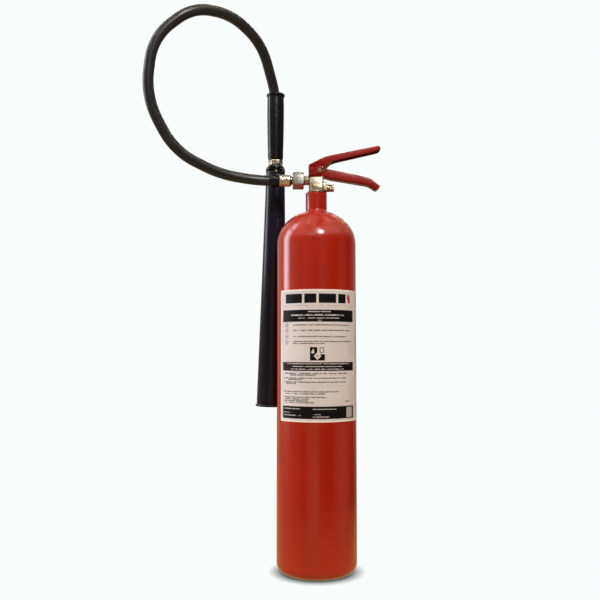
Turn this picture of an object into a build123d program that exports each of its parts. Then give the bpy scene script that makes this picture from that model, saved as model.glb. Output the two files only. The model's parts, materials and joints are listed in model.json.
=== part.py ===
from build123d import *

import os
from math import acos, atan, cos, degrees, pi, radians, sin, sqrt, tan

# Portable carbon dioxide fire extinguisher, 5 kg size, in millimetres.
# The origin is on the cylinder's axis at floor level. +Z is up, the label faces -Y,
# the handles point to +X and the hose leaves the valve to -X.
os.makedirs("parts", exist_ok=True)

# Steel cylinder
CYL_R = 68.0            # outside radius
CYL_WALL = 4.5
STRAIGHT_TOP = 554.0    # top of the straight wall
SHOULDER_H = 60.0       # height of the elliptical shoulder
FOOT_CORNER_R = 17.0
FOOT_IN_R = 46.0        # inner edge of the flat foot ring
BASE_RISE = 16.0        # height of the hollow under the base
NECK_R = 18.4
NECK_TOP = 644.5
NECK_BORE_R = 12.5
LABEL_Z = (255.0, 472.0)
LABEL_FROM, LABEL_SPAN = -62.0, 160.0    # degrees from the front, towards +X

# Valve
BODY_BOTTOM, BODY_TOP = 645.0, 672.0
BODY_X = (-13.0, 12.0)
BODY_W = 22.0
SEAT_Z = 657.0          # underside of the valve seat
OUTLET_Z = 667.0        # axis of the outlet and of the hose's first stretch
PORT_Z = 653.7          # axis of the burst disc port
PORT_X = 18.2           # face of the burst disc port
STEM_R = 2.5
RUN_FIT = 0.05          # radial clearance of a running fit

# Lever, handle and safety pin
PIVOT = (-8.0, 684.0)
PIVOT_R = 2.5
LEVER_TRAVEL = 12.0     # degrees
LEVER_W, HANDLE_W = 24.0, 20.0
LEVER_T, HANDLE_T = 1.8, 2.0
PIN = (10.8, 687.6)
PIN_R = 1.5
EYE = (4.0, 18.2)       # x and y of the safety pin's eye
RING_R, RING_WIRE_R = 11.0, 1.0

# Hose, grip and horn
HOSE_R, HOSE_BORE_R = 9.1, 4.5
NUT_X = (-41.0, -21.7)
NUT_AF = 27.0
FERRULE_X = (-64.0, -42.5)
FERRULE_R = 10.8
SLEEVE_X = (-81.0, -64.0)
GUN = (-73.0, 60.0)     # x and y of the grip's upright axis
HOSE_END_Z = 778.0      # where the hose stops inside the grip
HORN_FERRULE_Z = (772.0, 800.0)
GRIP_Z = (718.0, 841.0)
COLLAR_Z = (692.0, 708.5)
HORN_MOUTH = (-79.0, 62.0, 272.0)
HORN_R = (16.9, 27.0)   # outside radius under the collar and above the rim
HORN_WALL = 1.8


def hex_bar(plane, across_flats, length, turn=0.0):
    """Hexagonal bar with its end corners turned down to a cone, as nuts have."""
    corner_r = across_flats / sqrt(3)
    flat_r = across_flats / 2
    drop = (corner_r - flat_r) * tan(radians(30))
    with BuildPart() as bar:
        with BuildSketch(plane):
            RegularPolygon(corner_r, 6, rotation=turn)
        extrude(amount=length)
        turned = Plane(plane.origin, x_dir=plane.x_dir, z_dir=plane.x_dir.cross(plane.z_dir))
        with BuildSketch(turned):
            with BuildLine():
                side = -1 if turned.y_dir.dot(plane.z_dir) < 0 else 1
                Polyline(
                    (0, 0), (flat_r, 0), (corner_r, side * drop), (corner_r, side * (length - drop)),
                    (flat_r, side * length), (0, side * length), close=True,
                )
            make_face()
        revolve(axis=Axis(plane.origin, plane.z_dir), mode=Mode.INTERSECT)
    return bar.part


def save(item, name):
    """Label a finished sub-part and write it as its own STEP file."""
    item.part.label = name
    export_step(item.part, f"parts/{name}.step")


# ---------------------------------------------------------------- cylinder
base_sphere_r = (FOOT_IN_R**2 + BASE_RISE**2) / (2 * BASE_RISE)
base_centre = (0, 0, BASE_RISE - base_sphere_r)
inner_r = CYL_R - CYL_WALL

# the space that holds the gas
with BuildPart() as gas_space:
    with BuildSketch(Plane.XZ):
        with BuildLine():
            inner_turn = degrees(acos(NECK_BORE_R / inner_r))
            floor_line = Line((0, CYL_WALL), (inner_r, CYL_WALL))
            wall_line = Line(floor_line @ 1, (inner_r, STRAIGHT_TOP))
            dome = EllipticalCenterArc(
                (0, STRAIGHT_TOP), inner_r, SHOULDER_H - CYL_WALL, 0, arc_size=inner_turn
            )
            bore = Line(dome @ 1, (NECK_BORE_R, NECK_TOP))
            Polyline(bore @ 1, (0, NECK_TOP), floor_line @ 0)
        make_face()
    revolve(axis=Axis.Z)
    fillet(gas_space.edges().group_by(Axis.Z)[0], FOOT_CORNER_R - CYL_WALL)
    with Locations(base_centre):
        Sphere(base_sphere_r + CYL_WALL, mode=Mode.SUBTRACT)

with BuildPart() as cylinder_shell:
    with BuildSketch(Plane.XZ):
        with BuildLine():
            outer_turn = degrees(acos(NECK_R / CYL_R))
            foot_line = Line((0, 0), (CYL_R, 0))
            wall_line = Line(foot_line @ 1, (CYL_R, STRAIGHT_TOP))
            dome = EllipticalCenterArc((0, STRAIGHT_TOP), CYL_R, SHOULDER_H, 0, arc_size=outer_turn)
            neck = Line(dome @ 1, (NECK_R, NECK_TOP))
            Polyline(neck @ 1, (0, NECK_TOP), foot_line @ 0)
        make_face()
    revolve(axis=Axis.Z)
    fillet(cylinder_shell.edges().group_by(Axis.Z)[0], FOOT_CORNER_R)
    neck_root = cylinder_shell.edges().filter_by(GeomType.CIRCLE).filter_by(
        lambda e: abs(e.radius - NECK_R) < 0.01 and e.center().Z < NECK_TOP - 1)
    fillet(neck_root, 6.0)
    fillet(cylinder_shell.edges().group_by(Axis.Z)[-1], 1.2)
    with Locations(base_centre):
        Sphere(base_sphere_r, mode=Mode.SUBTRACT)
    add(gas_space.part, mode=Mode.SUBTRACT)
    # seat for the neck ring
    with BuildSketch(Plane.XY.offset(NECK_TOP)):
        Circle(15.0)
    extrude(amount=-2.5, mode=Mode.SUBTRACT)
save(cylinder_shell, "cylinder_shell")
print("gas space", round(gas_space.part.volume / 1e6, 2), "litres")

with BuildPart() as neck_o_ring:
    with Locations((0, 0, NECK_TOP - 1.25)):
        Torus(13.78, 1.18)
save(neck_o_ring, "neck_o_ring")

with BuildPart() as label:
    with BuildSketch(Plane.XY.offset(LABEL_Z[0])):
        with BuildLine():
            start = LABEL_FROM - 90
            inner = CenterArc((0, 0), CYL_R + 0.02, start, LABEL_SPAN)
            outer = CenterArc((0, 0), CYL_R + 0.2, start, LABEL_SPAN)
            Line(inner @ 0, outer @ 0)
            Line(inner @ 1, outer @ 1)
        make_face()
    extrude(amount=LABEL_Z[1] - LABEL_Z[0])
save(label, "label")

# ---------------------------------------------------------------- valve
SHANK_R = NECK_BORE_R - RUN_FIT
SHANK_BOTTOM = 616.0
INLET_R = 7.0           # bore that holds the spring and the valve head
ORIFICE_R = 3.6
CHAMBER = (5.5, 670.5)  # radius and top of the chamber above the seat
BOSS_R, BOSS_TOP = 6.0, 679.0
GLAND_BORE_R = 4.0
STUB_R, STUB_END = 8.0, -33.0
PORT_BORE_R = 4.0
DISC_X = 10.0           # ledge that the burst disc lies on

with BuildPart() as valve_body:
    with BuildSketch(Plane.XY.offset(BODY_BOTTOM)):
        with Locations(((BODY_X[0] + BODY_X[1]) / 2, 0)):
            RectangleRounded(BODY_X[1] - BODY_X[0], BODY_W, 2.5)
    extrude(amount=BODY_TOP - BODY_BOTTOM)
    chamfer(valve_body.edges().group_by(Axis.Z)[-1], 0.8)
    # lower block that carries the burst disc port
    with BuildSketch(Plane.YZ.offset(BODY_X[0])):
        with Locations((0, BODY_BOTTOM + 9.5)):
            RectangleRounded(19.0, 17.0, 3.5)
    extrude(amount=PORT_X - BODY_X[0])
    # raised pads on the front and the back, and the round base over the neck
    with BuildSketch(Plane.XZ):
        with Locations((2.0, 655.5)):
            RectangleRounded(16.0, 6.6, 0.8)
    extrude(amount=BODY_W / 2 + 0.8, both=True)
    with BuildSketch(Plane.XY.offset(BODY_BOTTOM)):
        Circle(14.5)
    extrude(amount=2.6)
    # shank, outlet stub and the boss around the spindle
    with BuildSketch(Plane.XY.offset(BODY_BOTTOM)):
        Circle(SHANK_R)
    extrude(amount=SHANK_BOTTOM - BODY_BOTTOM)
    with BuildSketch(Plane.YZ.offset(STUB_END)):
        with Locations((0, OUTLET_Z)):
            Circle(STUB_R)
    extrude(amount=BODY_X[0] + 1 - STUB_END)
    with BuildSketch(Plane.XY.offset(BODY_TOP)):
        Circle(BOSS_R)
    extrude(amount=BOSS_TOP - BODY_TOP)
    # passages
    with BuildSketch(Plane.XY.offset(SHANK_BOTTOM)):
        Circle(INLET_R)
    extrude(amount=SEAT_Z - SHANK_BOTTOM, mode=Mode.SUBTRACT)
    with BuildSketch(Plane.XY.offset(SEAT_Z)):
        Circle(ORIFICE_R)
    extrude(amount=4, mode=Mode.SUBTRACT)
    with BuildSketch(Plane.XY.offset(SEAT_Z + 3)):
        Circle(CHAMBER[0])
    extrude(amount=CHAMBER[1] - SEAT_Z - 3, mode=Mode.SUBTRACT)
    with BuildSketch(Plane.XY.offset(CHAMBER[1])):
        Circle(GLAND_BORE_R)
    extrude(amount=BOSS_TOP - CHAMBER[1], mode=Mode.SUBTRACT)
    with BuildSketch(Plane.YZ.offset(STUB_END)):
        with Locations((0, OUTLET_Z - 1)):
            Circle(4.0)
    extrude(amount=-STUB_END - 2, mode=Mode.SUBTRACT)
    with BuildSketch(Plane.YZ.offset(DISC_X)):
        with Locations((0, PORT_Z)):
            Circle(PORT_BORE_R)
    extrude(amount=PORT_X - DISC_X, mode=Mode.SUBTRACT)
    with BuildSketch(Plane.YZ.offset(INLET_R - 1.5)):
        with Locations((0, PORT_Z)):
            Circle(2.5)
    extrude(amount=DISC_X - INLET_R + 1.5, mode=Mode.SUBTRACT)
save(valve_body, "valve_body")

HEAD_Z = (651.0, 655.0)     # valve head on the spindle
STEM_BALL_Z = 694.6         # centre of the spindle's round tip
with BuildPart() as valve_stem:
    with BuildSketch(Plane.XZ):
        with BuildLine():
            tip = CenterArc((0, STEM_BALL_Z), STEM_R, 0, 90)
            Polyline(
                tip @ 0, (STEM_R, HEAD_Z[1]), (6.0, HEAD_Z[1]), (6.0, HEAD_Z[0]),
                (3.4, HEAD_Z[0]), (3.4, HEAD_Z[0] - 5), (0, HEAD_Z[0] - 5), tip @ 1,
            )
        make_face()
    revolve(axis=Axis.Z)
save(valve_stem, "valve_stem")

with BuildPart() as seat_washer:
    with BuildSketch(Plane.XY.offset(HEAD_Z[1])):
        Circle(6.0)
        Circle(STEM_R + 0.1, mode=Mode.SUBTRACT)
    extrude(amount=SEAT_Z - HEAD_Z[1])
save(seat_washer, "seat_washer")

SPRING_PLUG_Z = (622.0, 634.0)
DIP_R, DIP_TOP = 5.0, 628.0
with BuildPart() as spring_plug:
    with BuildSketch(Plane.XY.offset(SPRING_PLUG_Z[0])):
        Circle(INLET_R - RUN_FIT)
        Circle(3.0, mode=Mode.SUBTRACT)
    extrude(amount=SPRING_PLUG_Z[1] - SPRING_PLUG_Z[0])
    with BuildSketch(Plane.XY.offset(SPRING_PLUG_Z[0])):
        Circle(DIP_R + RUN_FIT)
    extrude(amount=DIP_TOP - SPRING_PLUG_Z[0], mode=Mode.SUBTRACT)
save(spring_plug, "spring_plug")

SPRING_WIRE_R = 0.6
with BuildPart() as valve_spring:
    with BuildLine():
        rise = HEAD_Z[0] - SPRING_PLUG_Z[1] - 2 * SPRING_WIRE_R - 0.2
        low = SPRING_PLUG_Z[1] + SPRING_WIRE_R + 0.1
        coil = Helix(pitch=rise / 6, height=rise, radius=4.9, center=(0, 0, low))
    with BuildSketch(Plane(origin=coil @ 0, z_dir=coil % 0)):
        Circle(SPRING_WIRE_R)
    sweep()
save(valve_spring, "valve_spring")

DIP_BOTTOM = 26.0
with BuildPart() as dip_tube:
    with BuildSketch(Plane.XY.offset(DIP_BOTTOM)):
        Circle(DIP_R)
        Circle(DIP_R - 1.5, mode=Mode.SUBTRACT)
    extrude(amount=DIP_TOP - DIP_BOTTOM)
    # the lower end is cut on the slant, so that it can't seal against the base
    split(bisect_by=Plane((0, 0, DIP_BOTTOM + DIP_R), z_dir=(1, 0, 1)), keep=Keep.TOP)
save(dip_tube, "dip_tube")

with BuildPart() as stem_o_ring:
    with Locations((0, 0, 671.6)):
        Torus(3.27, 0.66)
save(stem_o_ring, "stem_o_ring")

GLAND_FOOT = 673.0
with BuildPart() as gland_nut:
    with BuildSketch(Plane.XY.offset(GLAND_FOOT)):
        Circle(GLAND_BORE_R - RUN_FIT)
    extrude(amount=BOSS_TOP - GLAND_FOOT)
    add(hex_bar(Plane.XY.offset(BOSS_TOP), 10.0, 2.1))
    with BuildSketch(Plane.XY.offset(GLAND_FOOT)):
        Circle(STEM_R + RUN_FIT)
    extrude(amount=BOSS_TOP + 3 - GLAND_FOOT, mode=Mode.SUBTRACT)
save(gland_nut, "gland_nut")

# ---------------------------------------------------------------- burst disc
with BuildPart() as burst_disc:
    with BuildSketch(Plane.YZ.offset(DISC_X)):
        with Locations((0, PORT_Z)):
            Circle(PORT_BORE_R - RUN_FIT)
    extrude(amount=0.4)
save(burst_disc, "burst_disc")

WASHER_X = DISC_X + 0.4
with BuildPart() as burst_washer:
    with BuildSketch(Plane.YZ.offset(WASHER_X)):
        with Locations((0, PORT_Z)):
            Circle(PORT_BORE_R - RUN_FIT)
            Circle(2.0, mode=Mode.SUBTRACT)
    extrude(amount=1.0)
save(burst_washer, "burst_washer")

PLUG_X = WASHER_X + 1.0
PLUG_FLANGE_X, PLUG_HEX_X, PLUG_END_X = PORT_X, 22.0, 30.8
PLUG_FLANGE_R = 6.6
VENT_X = 26.5
with BuildPart() as burst_plug:
    with BuildSketch(Plane.YZ.offset(PLUG_X)):
        with Locations((0, PORT_Z)):
            Circle(PORT_BORE_R - RUN_FIT)
    extrude(amount=PLUG_FLANGE_X - PLUG_X)
    with BuildSketch(Plane.YZ.offset(PLUG_FLANGE_X)):
        with Locations((0, PORT_Z)):
            Circle(PLUG_FLANGE_R)
    extrude(amount=PLUG_HEX_X - PLUG_FLANGE_X)
    add(hex_bar(Plane((PLUG_HEX_X, 0, PORT_Z), x_dir=(0, 1, 0), z_dir=(1, 0, 0)), 11.0,
                PLUG_END_X - PLUG_HEX_X, 30))
    with BuildSketch(Plane.YZ.offset(PLUG_X)):
        with Locations((0, PORT_Z)):
            Circle(1.5)
    extrude(amount=VENT_X + 2.0 - PLUG_X, mode=Mode.SUBTRACT)
    # side vents, so that a burst pushes the extinguisher no way
    with BuildSketch(Plane.XZ):
        with Locations((VENT_X, PORT_Z)):
            Circle(1.0)
    extrude(amount=8, both=True, mode=Mode.SUBTRACT)
save(burst_plug, "burst_plug")

# ---------------------------------------------------------------- handle and lever
HANDLE_CREST = [(-12, 672), (-12, 687), (-4, 690), (13, 691), (19, 685.5)]
HANDLE_RIM = [(19, 685.5), (62, 677), (93, 669.5), (111, 655)]
HANDLE_KEEL = [(12.5, 672), (24, 668.2), (62, 662), (90, 657), (103, 648.5)]
KEEL_BENDS = [12, 80, 22]
with BuildPart() as carry_handle:
    with BuildSketch(Plane.XZ):
        with BuildLine():
            Polyline(*HANDLE_CREST)
            FilletPolyline(*HANDLE_RIM, radius=[80, 22])
            FilletPolyline(*HANDLE_KEEL, radius=KEEL_BENDS)
            Line(HANDLE_RIM[-1], HANDLE_KEEL[-1])
            Line(HANDLE_KEEL[0], HANDLE_CREST[0])
        make_face()
    extrude(amount=HANDLE_W / 2, both=True)
    side_edges = carry_handle.edges().filter_by(
        lambda e: abs(abs(e.center().Y) - HANDLE_W / 2) < 0.1 and abs(e.tangent_at(0.5).Y) < 0.1)
    low_bends = side_edges.filter_by(
        lambda e: 18 < e.center().X < 103 and e.center().Z < 680 - 0.18 * e.center().X)
    fillet(low_bends, 3.5)
    # trough between the two cheeks, open upwards
    with BuildSketch(Plane.XZ):
        with BuildLine():
            trough_keel = [(x, z + HANDLE_T) for x, z in HANDLE_KEEL]
            FilletPolyline(*trough_keel, radius=KEEL_BENDS)
            Polyline(
                trough_keel[-1],
                (115, 655),
                (115, 720),
                (-20, 720),
                (-20, BODY_TOP + HANDLE_T),
                trough_keel[0],
            )
        make_face()
    extrude(amount=HANDLE_W / 2 - HANDLE_T, both=True, mode=Mode.SUBTRACT)
    with BuildSketch(Plane.XY.offset(BODY_TOP)):
        Circle(BOSS_R + 0.1)
    extrude(amount=HANDLE_T + 1, mode=Mode.SUBTRACT)
    with BuildSketch(Plane.XZ):
        with Locations(PIVOT):
            Circle(PIVOT_R + RUN_FIT)
        with Locations(PIN):
            Circle(PIN_R + 0.1)
    extrude(amount=HANDLE_W, both=True, mode=Mode.SUBTRACT)
save(carry_handle, "carry_handle")

HANDLE_NUT_Z = BODY_TOP + HANDLE_T
with BuildPart() as handle_nut:
    add(hex_bar(Plane.XY.offset(HANDLE_NUT_Z), 15.5, 4.0))
    with BuildSketch(Plane.XY.offset(HANDLE_NUT_Z)):
        Circle(BOSS_R + RUN_FIT)
    extrude(amount=4.0, mode=Mode.SUBTRACT)
save(handle_nut, "handle_nut")

LEVER_BACK = [
    (-13.6, 673), (-13.6, 693.2), (12.5, 706.6), (24, 709.6), (108.5, 726.8), (113.2, 721.9), (109, 718.4)
]
LEVER_BENDS = [2.5, 25, 60, 4.2, 3.2]
LEVER_LOW = [(9, 677), (14, 686), (24, 697), (34, 700.9), (109, 718.4)]
pin_reach = sqrt((PIN[0] - PIVOT[0]) ** 2 + (PIN[1] - PIVOT[1]) ** 2)
pin_angle = degrees(atan((PIN[1] - PIVOT[1]) / (PIN[0] - PIVOT[0])))
slot_mid = radians(pin_angle + LEVER_TRAVEL / 2)
slot_centre = (PIVOT[0] + pin_reach * cos(slot_mid), PIVOT[1] + pin_reach * sin(slot_mid))
with BuildPart() as squeeze_lever:
    with BuildSketch(Plane.XZ):
        with BuildLine():
            FilletPolyline(*LEVER_BACK, radius=LEVER_BENDS)
            Polyline(*reversed(LEVER_LOW), LEVER_BACK[0])
        make_face()
    extrude(amount=LEVER_W / 2, both=True)
    side_edges = squeeze_lever.edges().filter_by(
        lambda e: abs(abs(e.center().Y) - LEVER_W / 2) < 0.1 and abs(e.tangent_at(0.5).Y) < 0.1)
    top_bends = side_edges.filter_by(
        lambda e: e.center().Z > 699 + 0.21 * e.center().X and e.center().X > -13)
    fillet(top_bends, 3.0)
    # hollow between the two cheeks, open downwards and at the back
    with BuildSketch(Plane.XZ):
        with BuildLine():
            web = FilletPolyline((-20, 687.8), (13.0, 704.6), (24.4, 707.5), (107.2, 724.4), (110.6, 721.2),
                                 radius=[25, 60, 2.0])
            Polyline(web @ 1, (116, 712), (116, 660), (-20, 660), web @ 0)
        make_face()
    extrude(amount=LEVER_W / 2 - LEVER_T, both=True, mode=Mode.SUBTRACT)
    with BuildSketch(Plane.XZ):
        with Locations(PIVOT):
            Circle(PIVOT_R + RUN_FIT)
        with Locations(slot_centre):
            SlotCenterToCenter(pin_reach * radians(LEVER_TRAVEL) + 0.4, 2 * PIN_R + 0.6,
                               rotation=90 + degrees(slot_mid))
    extrude(amount=LEVER_W, both=True, mode=Mode.SUBTRACT)
save(squeeze_lever, "squeeze_lever")

RIVET_HEAD_Y = LEVER_W / 2 + 0.1
with BuildPart() as pivot_pin:
    with BuildSketch(Plane.XZ):
        with Locations(PIVOT):
            Circle(PIVOT_R)
    extrude(amount=RIVET_HEAD_Y, both=True)
    for side in (-1, 1):
        head_plane = Plane(
            (PIVOT[0], side * RIVET_HEAD_Y, PIVOT[1]), x_dir=(1, 0, 0), z_dir=(0, side, 0)
        )
        with BuildSketch(head_plane):
            Circle(4.0)
        extrude(amount=1.2)
    heads = pivot_pin.edges().filter_by(lambda e: abs(e.center().Y) > RIVET_HEAD_Y + 1)
    fillet(heads, 0.9)
save(pivot_pin, "pivot_pin")

PIN_TIP_Y, PIN_BEND_Y = -14.4, 15.1
EYE_R, EYE_WIRE_R = 3.1, 1.1
with BuildPart() as safety_pin:
    with BuildSketch(Plane.XZ.offset(-PIN_BEND_Y)):
        with Locations(PIN):
            Circle(PIN_R)
    extrude(amount=PIN_BEND_Y - PIN_TIP_Y)
    fillet(safety_pin.edges().sort_by(Axis.Y)[0], 1.0)
    with BuildSketch(Plane.XZ.offset(-12.6)):
        with Locations(PIN):
            Circle(3.2)
    extrude(amount=-0.8)
    with BuildSketch(Plane((PIN[0], PIN_BEND_Y, PIN[1]), x_dir=(0, 1, 0), z_dir=(-1, 0, 0))):
        Circle(PIN_R)
    extrude(amount=PIN[0] - EYE[0] + 1.0)
    with Locations((PIN[0], PIN_BEND_Y, PIN[1])):
        Sphere(PIN_R)
    with Locations(Location((EYE[0], EYE[1], PIN[1]), (0, 90, 0))):
        Torus(EYE_R, EYE_WIRE_R)
save(safety_pin, "safety_pin")

with BuildPart() as pull_ring:
    with Locations(Location((EYE[0], EYE[1], PIN[1] - RING_R), (90, 0, 0))):
        Torus(RING_R, RING_WIRE_R)
save(pull_ring, "pull_ring")

SEAL_Y = -LEVER_W / 2 - 0.7
with BuildPart() as tamper_seal:
    with BuildSketch(Plane.XZ.offset(LEVER_W / 2 + 0.15)):
        with Locations((5.6, 682.5)):
            RectangleRounded(5.4, 6.4, 1.0)
    extrude(amount=1.3)
    with BuildLine():
        strap = Polyline(
            (7.5, SEAL_Y, 680.6),
            (14.2, SEAL_Y, 683.2),
            (25.5, SEAL_Y, 696.0),
            (27.5, SEAL_Y + 4.5, 697.0),
        )
    with BuildSketch(Plane(origin=strap @ 0, z_dir=strap % 0)):
        Circle(0.5)
    sweep(path=strap, transition=Transition.ROUND)
save(tamper_seal, "tamper_seal")

# ---------------------------------------------------------------- hose coupling
nut_plane = Plane((NUT_X[0], 0, OUTLET_Z), x_dir=(0, 1, 0), z_dir=(1, 0, 0))
TAIL_COLLAR_X = (-37.0, -34.5)
with BuildPart() as union_nut:
    add(hex_bar(nut_plane, NUT_AF, NUT_X[1] - NUT_X[0], 90))
    with BuildSketch(Plane.YZ.offset(NUT_X[0])):
        with Locations((0, OUTLET_Z)):
            Circle(6.4 + RUN_FIT)
    extrude(amount=5, mode=Mode.SUBTRACT)
    with BuildSketch(Plane.YZ.offset(TAIL_COLLAR_X[0])):
        with Locations((0, OUTLET_Z)):
            Circle(STUB_R + RUN_FIT)
    extrude(amount=20, mode=Mode.SUBTRACT)
save(union_nut, "union_nut")

with BuildPart() as outlet_washer:
    with BuildSketch(Plane.YZ.offset(STUB_END)):
        with Locations((0, OUTLET_Z)):
            Circle(STUB_R - 0.1)
            Circle(4.2, mode=Mode.SUBTRACT)
    extrude(amount=TAIL_COLLAR_X[1] - STUB_END)
save(outlet_washer, "outlet_washer")

TAIL_BORE_R, TAIL_SHANK_R = 3.0, 6.4
with BuildPart() as hose_tail:
    with BuildSketch(Plane.XZ):
        with BuildLine():
            Polyline(
                (TAIL_COLLAR_X[1] - 0.05, TAIL_BORE_R), (TAIL_COLLAR_X[1] - 0.05, STUB_R - 0.05),
                (TAIL_COLLAR_X[0] + 0.05, STUB_R - 0.05), (TAIL_COLLAR_X[0] + 0.05, TAIL_SHANK_R),
                (-45.0, TAIL_SHANK_R), (-45.0, HOSE_BORE_R - 0.1), (-62.0, HOSE_BORE_R - 0.1),
                (-62.0, TAIL_BORE_R), close=True,
            )
        make_face()
    revolve(axis=Axis.X)
hose_tail.part.position = (0, 0, OUTLET_Z)
save(hose_tail, "hose_tail")

HOSE_START_X = -46.0
with BuildPart() as hose_ferrule:
    with BuildSketch(Plane.XZ):
        with BuildLine():
            Polyline(
                (FERRULE_X[1], TAIL_SHANK_R + 0.1), (FERRULE_X[1], 8.6), (FERRULE_X[1] - 3.0, FERRULE_R),
                (FERRULE_X[0] + 1.0, FERRULE_R), (FERRULE_X[0], FERRULE_R - 0.8),
                (FERRULE_X[0], HOSE_R + 0.1), (HOSE_START_X + 0.2, HOSE_R + 0.1),
                (HOSE_START_X + 0.2, TAIL_SHANK_R + 0.1), close=True,
            )
        make_face()
    revolve(axis=Axis.X)
hose_ferrule.part.position = (0, 0, OUTLET_Z)
save(hose_ferrule, "hose_ferrule")

with BuildPart() as hose_sleeve:
    with BuildSketch(Plane.YZ.offset(SLEEVE_X[0])):
        with Locations((0, OUTLET_Z)):
            Circle(11.2)
            Circle(HOSE_R + 0.5, mode=Mode.SUBTRACT)
    extrude(amount=SLEEVE_X[1] - SLEEVE_X[0])
    fillet(hose_sleeve.edges().filter_by(lambda e: e.length > 68), 0.9)
save(hose_sleeve, "hose_sleeve")

# ---------------------------------------------------------------- hose
HOSE_ROUTE = [
    (HOSE_START_X, 0, OUTLET_Z), (-100, 0, OUTLET_Z), (-165, -18, 674), (-239, -55, 705), (-283, -84, 789),
    (-270, -92, 886), (-206, -82, 941), (-145, -42, 946), (-96, 12, 916), (*GUN, 840), (*GUN, HOSE_END_Z),
]


def bend_radii(route):
    """Largest tangent arc at each corner: 0.45 of its shorter run over the half turn's tangent."""
    radii = []
    for before, corner, after in zip(route, route[1:], route[2:]):
        run_in = Vector(*corner) - Vector(*before)
        run_out = Vector(*after) - Vector(*corner)
        half_turn = radians(run_in.get_angle(run_out)) / 2
        radii.append(0.45 * min(run_in.length, run_out.length) / tan(half_turn))
    return radii


radii = bend_radii(HOSE_ROUTE)
print("hose bend radii", [round(r, 1) for r in radii])
with BuildPart() as hose:
    with BuildLine():
        path = FilletPolyline(*HOSE_ROUTE, radius=radii)
    with BuildSketch(Plane(origin=path @ 0, z_dir=path % 0)):
        Circle(HOSE_R)
        Circle(HOSE_BORE_R, mode=Mode.SUBTRACT)
    sweep()
hose_section = pi * (HOSE_R**2 - HOSE_BORE_R**2)
print("hose length", round(path.length, 1), "volume", round(hose.part.volume),
      "section times length", round(hose_section * path.length))
save(hose, "hose")

# ---------------------------------------------------------------- grip and horn
gun_axis = Axis((*GUN, 0), (0, 0, 1))
gun_plane = Plane((*GUN, 0), x_dir=(1, 0, 0), z_dir=(0, -1, 0))
with BuildPart() as grip:
    with BuildSketch(gun_plane):
        with BuildLine():
            low, high = GRIP_Z
            foot = Line((11.3, low), (13.3, low))
            waist = Spline(foot @ 1, (14.4, low + 22), (15.0, low + 60), (15.3, high - 14), (15.2, high - 5))
            Polyline(waist @ 1, (16.4, high - 4.4), (16.8, high - 3.6), (16.8, high - 1.2), (16.0, high),
                     (14.6, high), (10.4, HORN_FERRULE_Z[1] + 6), (11.3, HORN_FERRULE_Z[1] + 2), foot @ 0)
        make_face()
    revolve(axis=gun_axis)
save(grip, "grip")

with BuildPart() as horn_ferrule:
    with BuildSketch(gun_plane):
        with BuildLine():
            low, high = HORN_FERRULE_Z
            Polyline(
                (TAIL_SHANK_R + 0.1, low), (8.6, low), (FERRULE_R, low + 3), (FERRULE_R, high - 1),
                (FERRULE_R - 0.8, high), (HOSE_R + 0.1, high), (HOSE_R + 0.1, HOSE_END_Z - 0.2),
                (TAIL_SHANK_R + 0.1, HOSE_END_Z - 0.2), close=True,
            )
        make_face()
    revolve(axis=gun_axis)
save(horn_ferrule, "horn_ferrule")

SPIGOT_R, SPIGOT_FOOT = 6.0, 684.0
HEX_Z = (COLLAR_Z[1], GRIP_Z[0])
with BuildPart() as horn_tube:
    with BuildSketch(gun_plane):
        with BuildLine():
            Polyline(
                (TAIL_BORE_R, SPIGOT_FOOT), (SPIGOT_R, SPIGOT_FOOT), (SPIGOT_R, HEX_Z[0]), (11.5, HEX_Z[0]),
                (11.5, HEX_Z[1]), (TAIL_SHANK_R, HEX_Z[1]), (TAIL_SHANK_R, HOSE_END_Z - 1),
                (HOSE_BORE_R - 0.1, HOSE_END_Z - 1), (HOSE_BORE_R - 0.1, HOSE_END_Z + 16),
                (TAIL_BORE_R, HOSE_END_Z + 16), close=True,
            )
        make_face()
    revolve(axis=gun_axis)
    add(hex_bar(Plane((*GUN, HEX_Z[0])), 23.0, HEX_Z[1] - HEX_Z[0]))
    with BuildSketch(Plane((*GUN, SPIGOT_FOOT))):
        Circle(TAIL_BORE_R)
    extrude(amount=HOSE_END_Z + 16 - SPIGOT_FOOT, mode=Mode.SUBTRACT)
save(horn_tube, "horn_tube")

NOZZLE_Z = (675.0, 698.0)
NOZZLE_R = 8.8
JET_COUNT, JET_R = 4, 1.1
with BuildPart() as horn_nozzle:
    with BuildSketch(Plane((*GUN, NOZZLE_Z[0]))):
        Circle(NOZZLE_R)
    extrude(amount=NOZZLE_Z[1] - NOZZLE_Z[0])
    chamfer(horn_nozzle.edges().group_by(Axis.Z)[0], 1.0)
    with BuildSketch(Plane((*GUN, SPIGOT_FOOT))):
        Circle(SPIGOT_R + RUN_FIT)
    extrude(amount=NOZZLE_Z[1] - SPIGOT_FOOT, mode=Mode.SUBTRACT)
    # jets that spread the gas over the horn's wall
    with BuildSketch(Plane((*GUN, NOZZLE_Z[0]))):
        with PolarLocations(4.0, JET_COUNT):
            Circle(JET_R)
    extrude(amount=SPIGOT_FOOT - NOZZLE_Z[0], mode=Mode.SUBTRACT)
save(horn_nozzle, "horn_nozzle")

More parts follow.
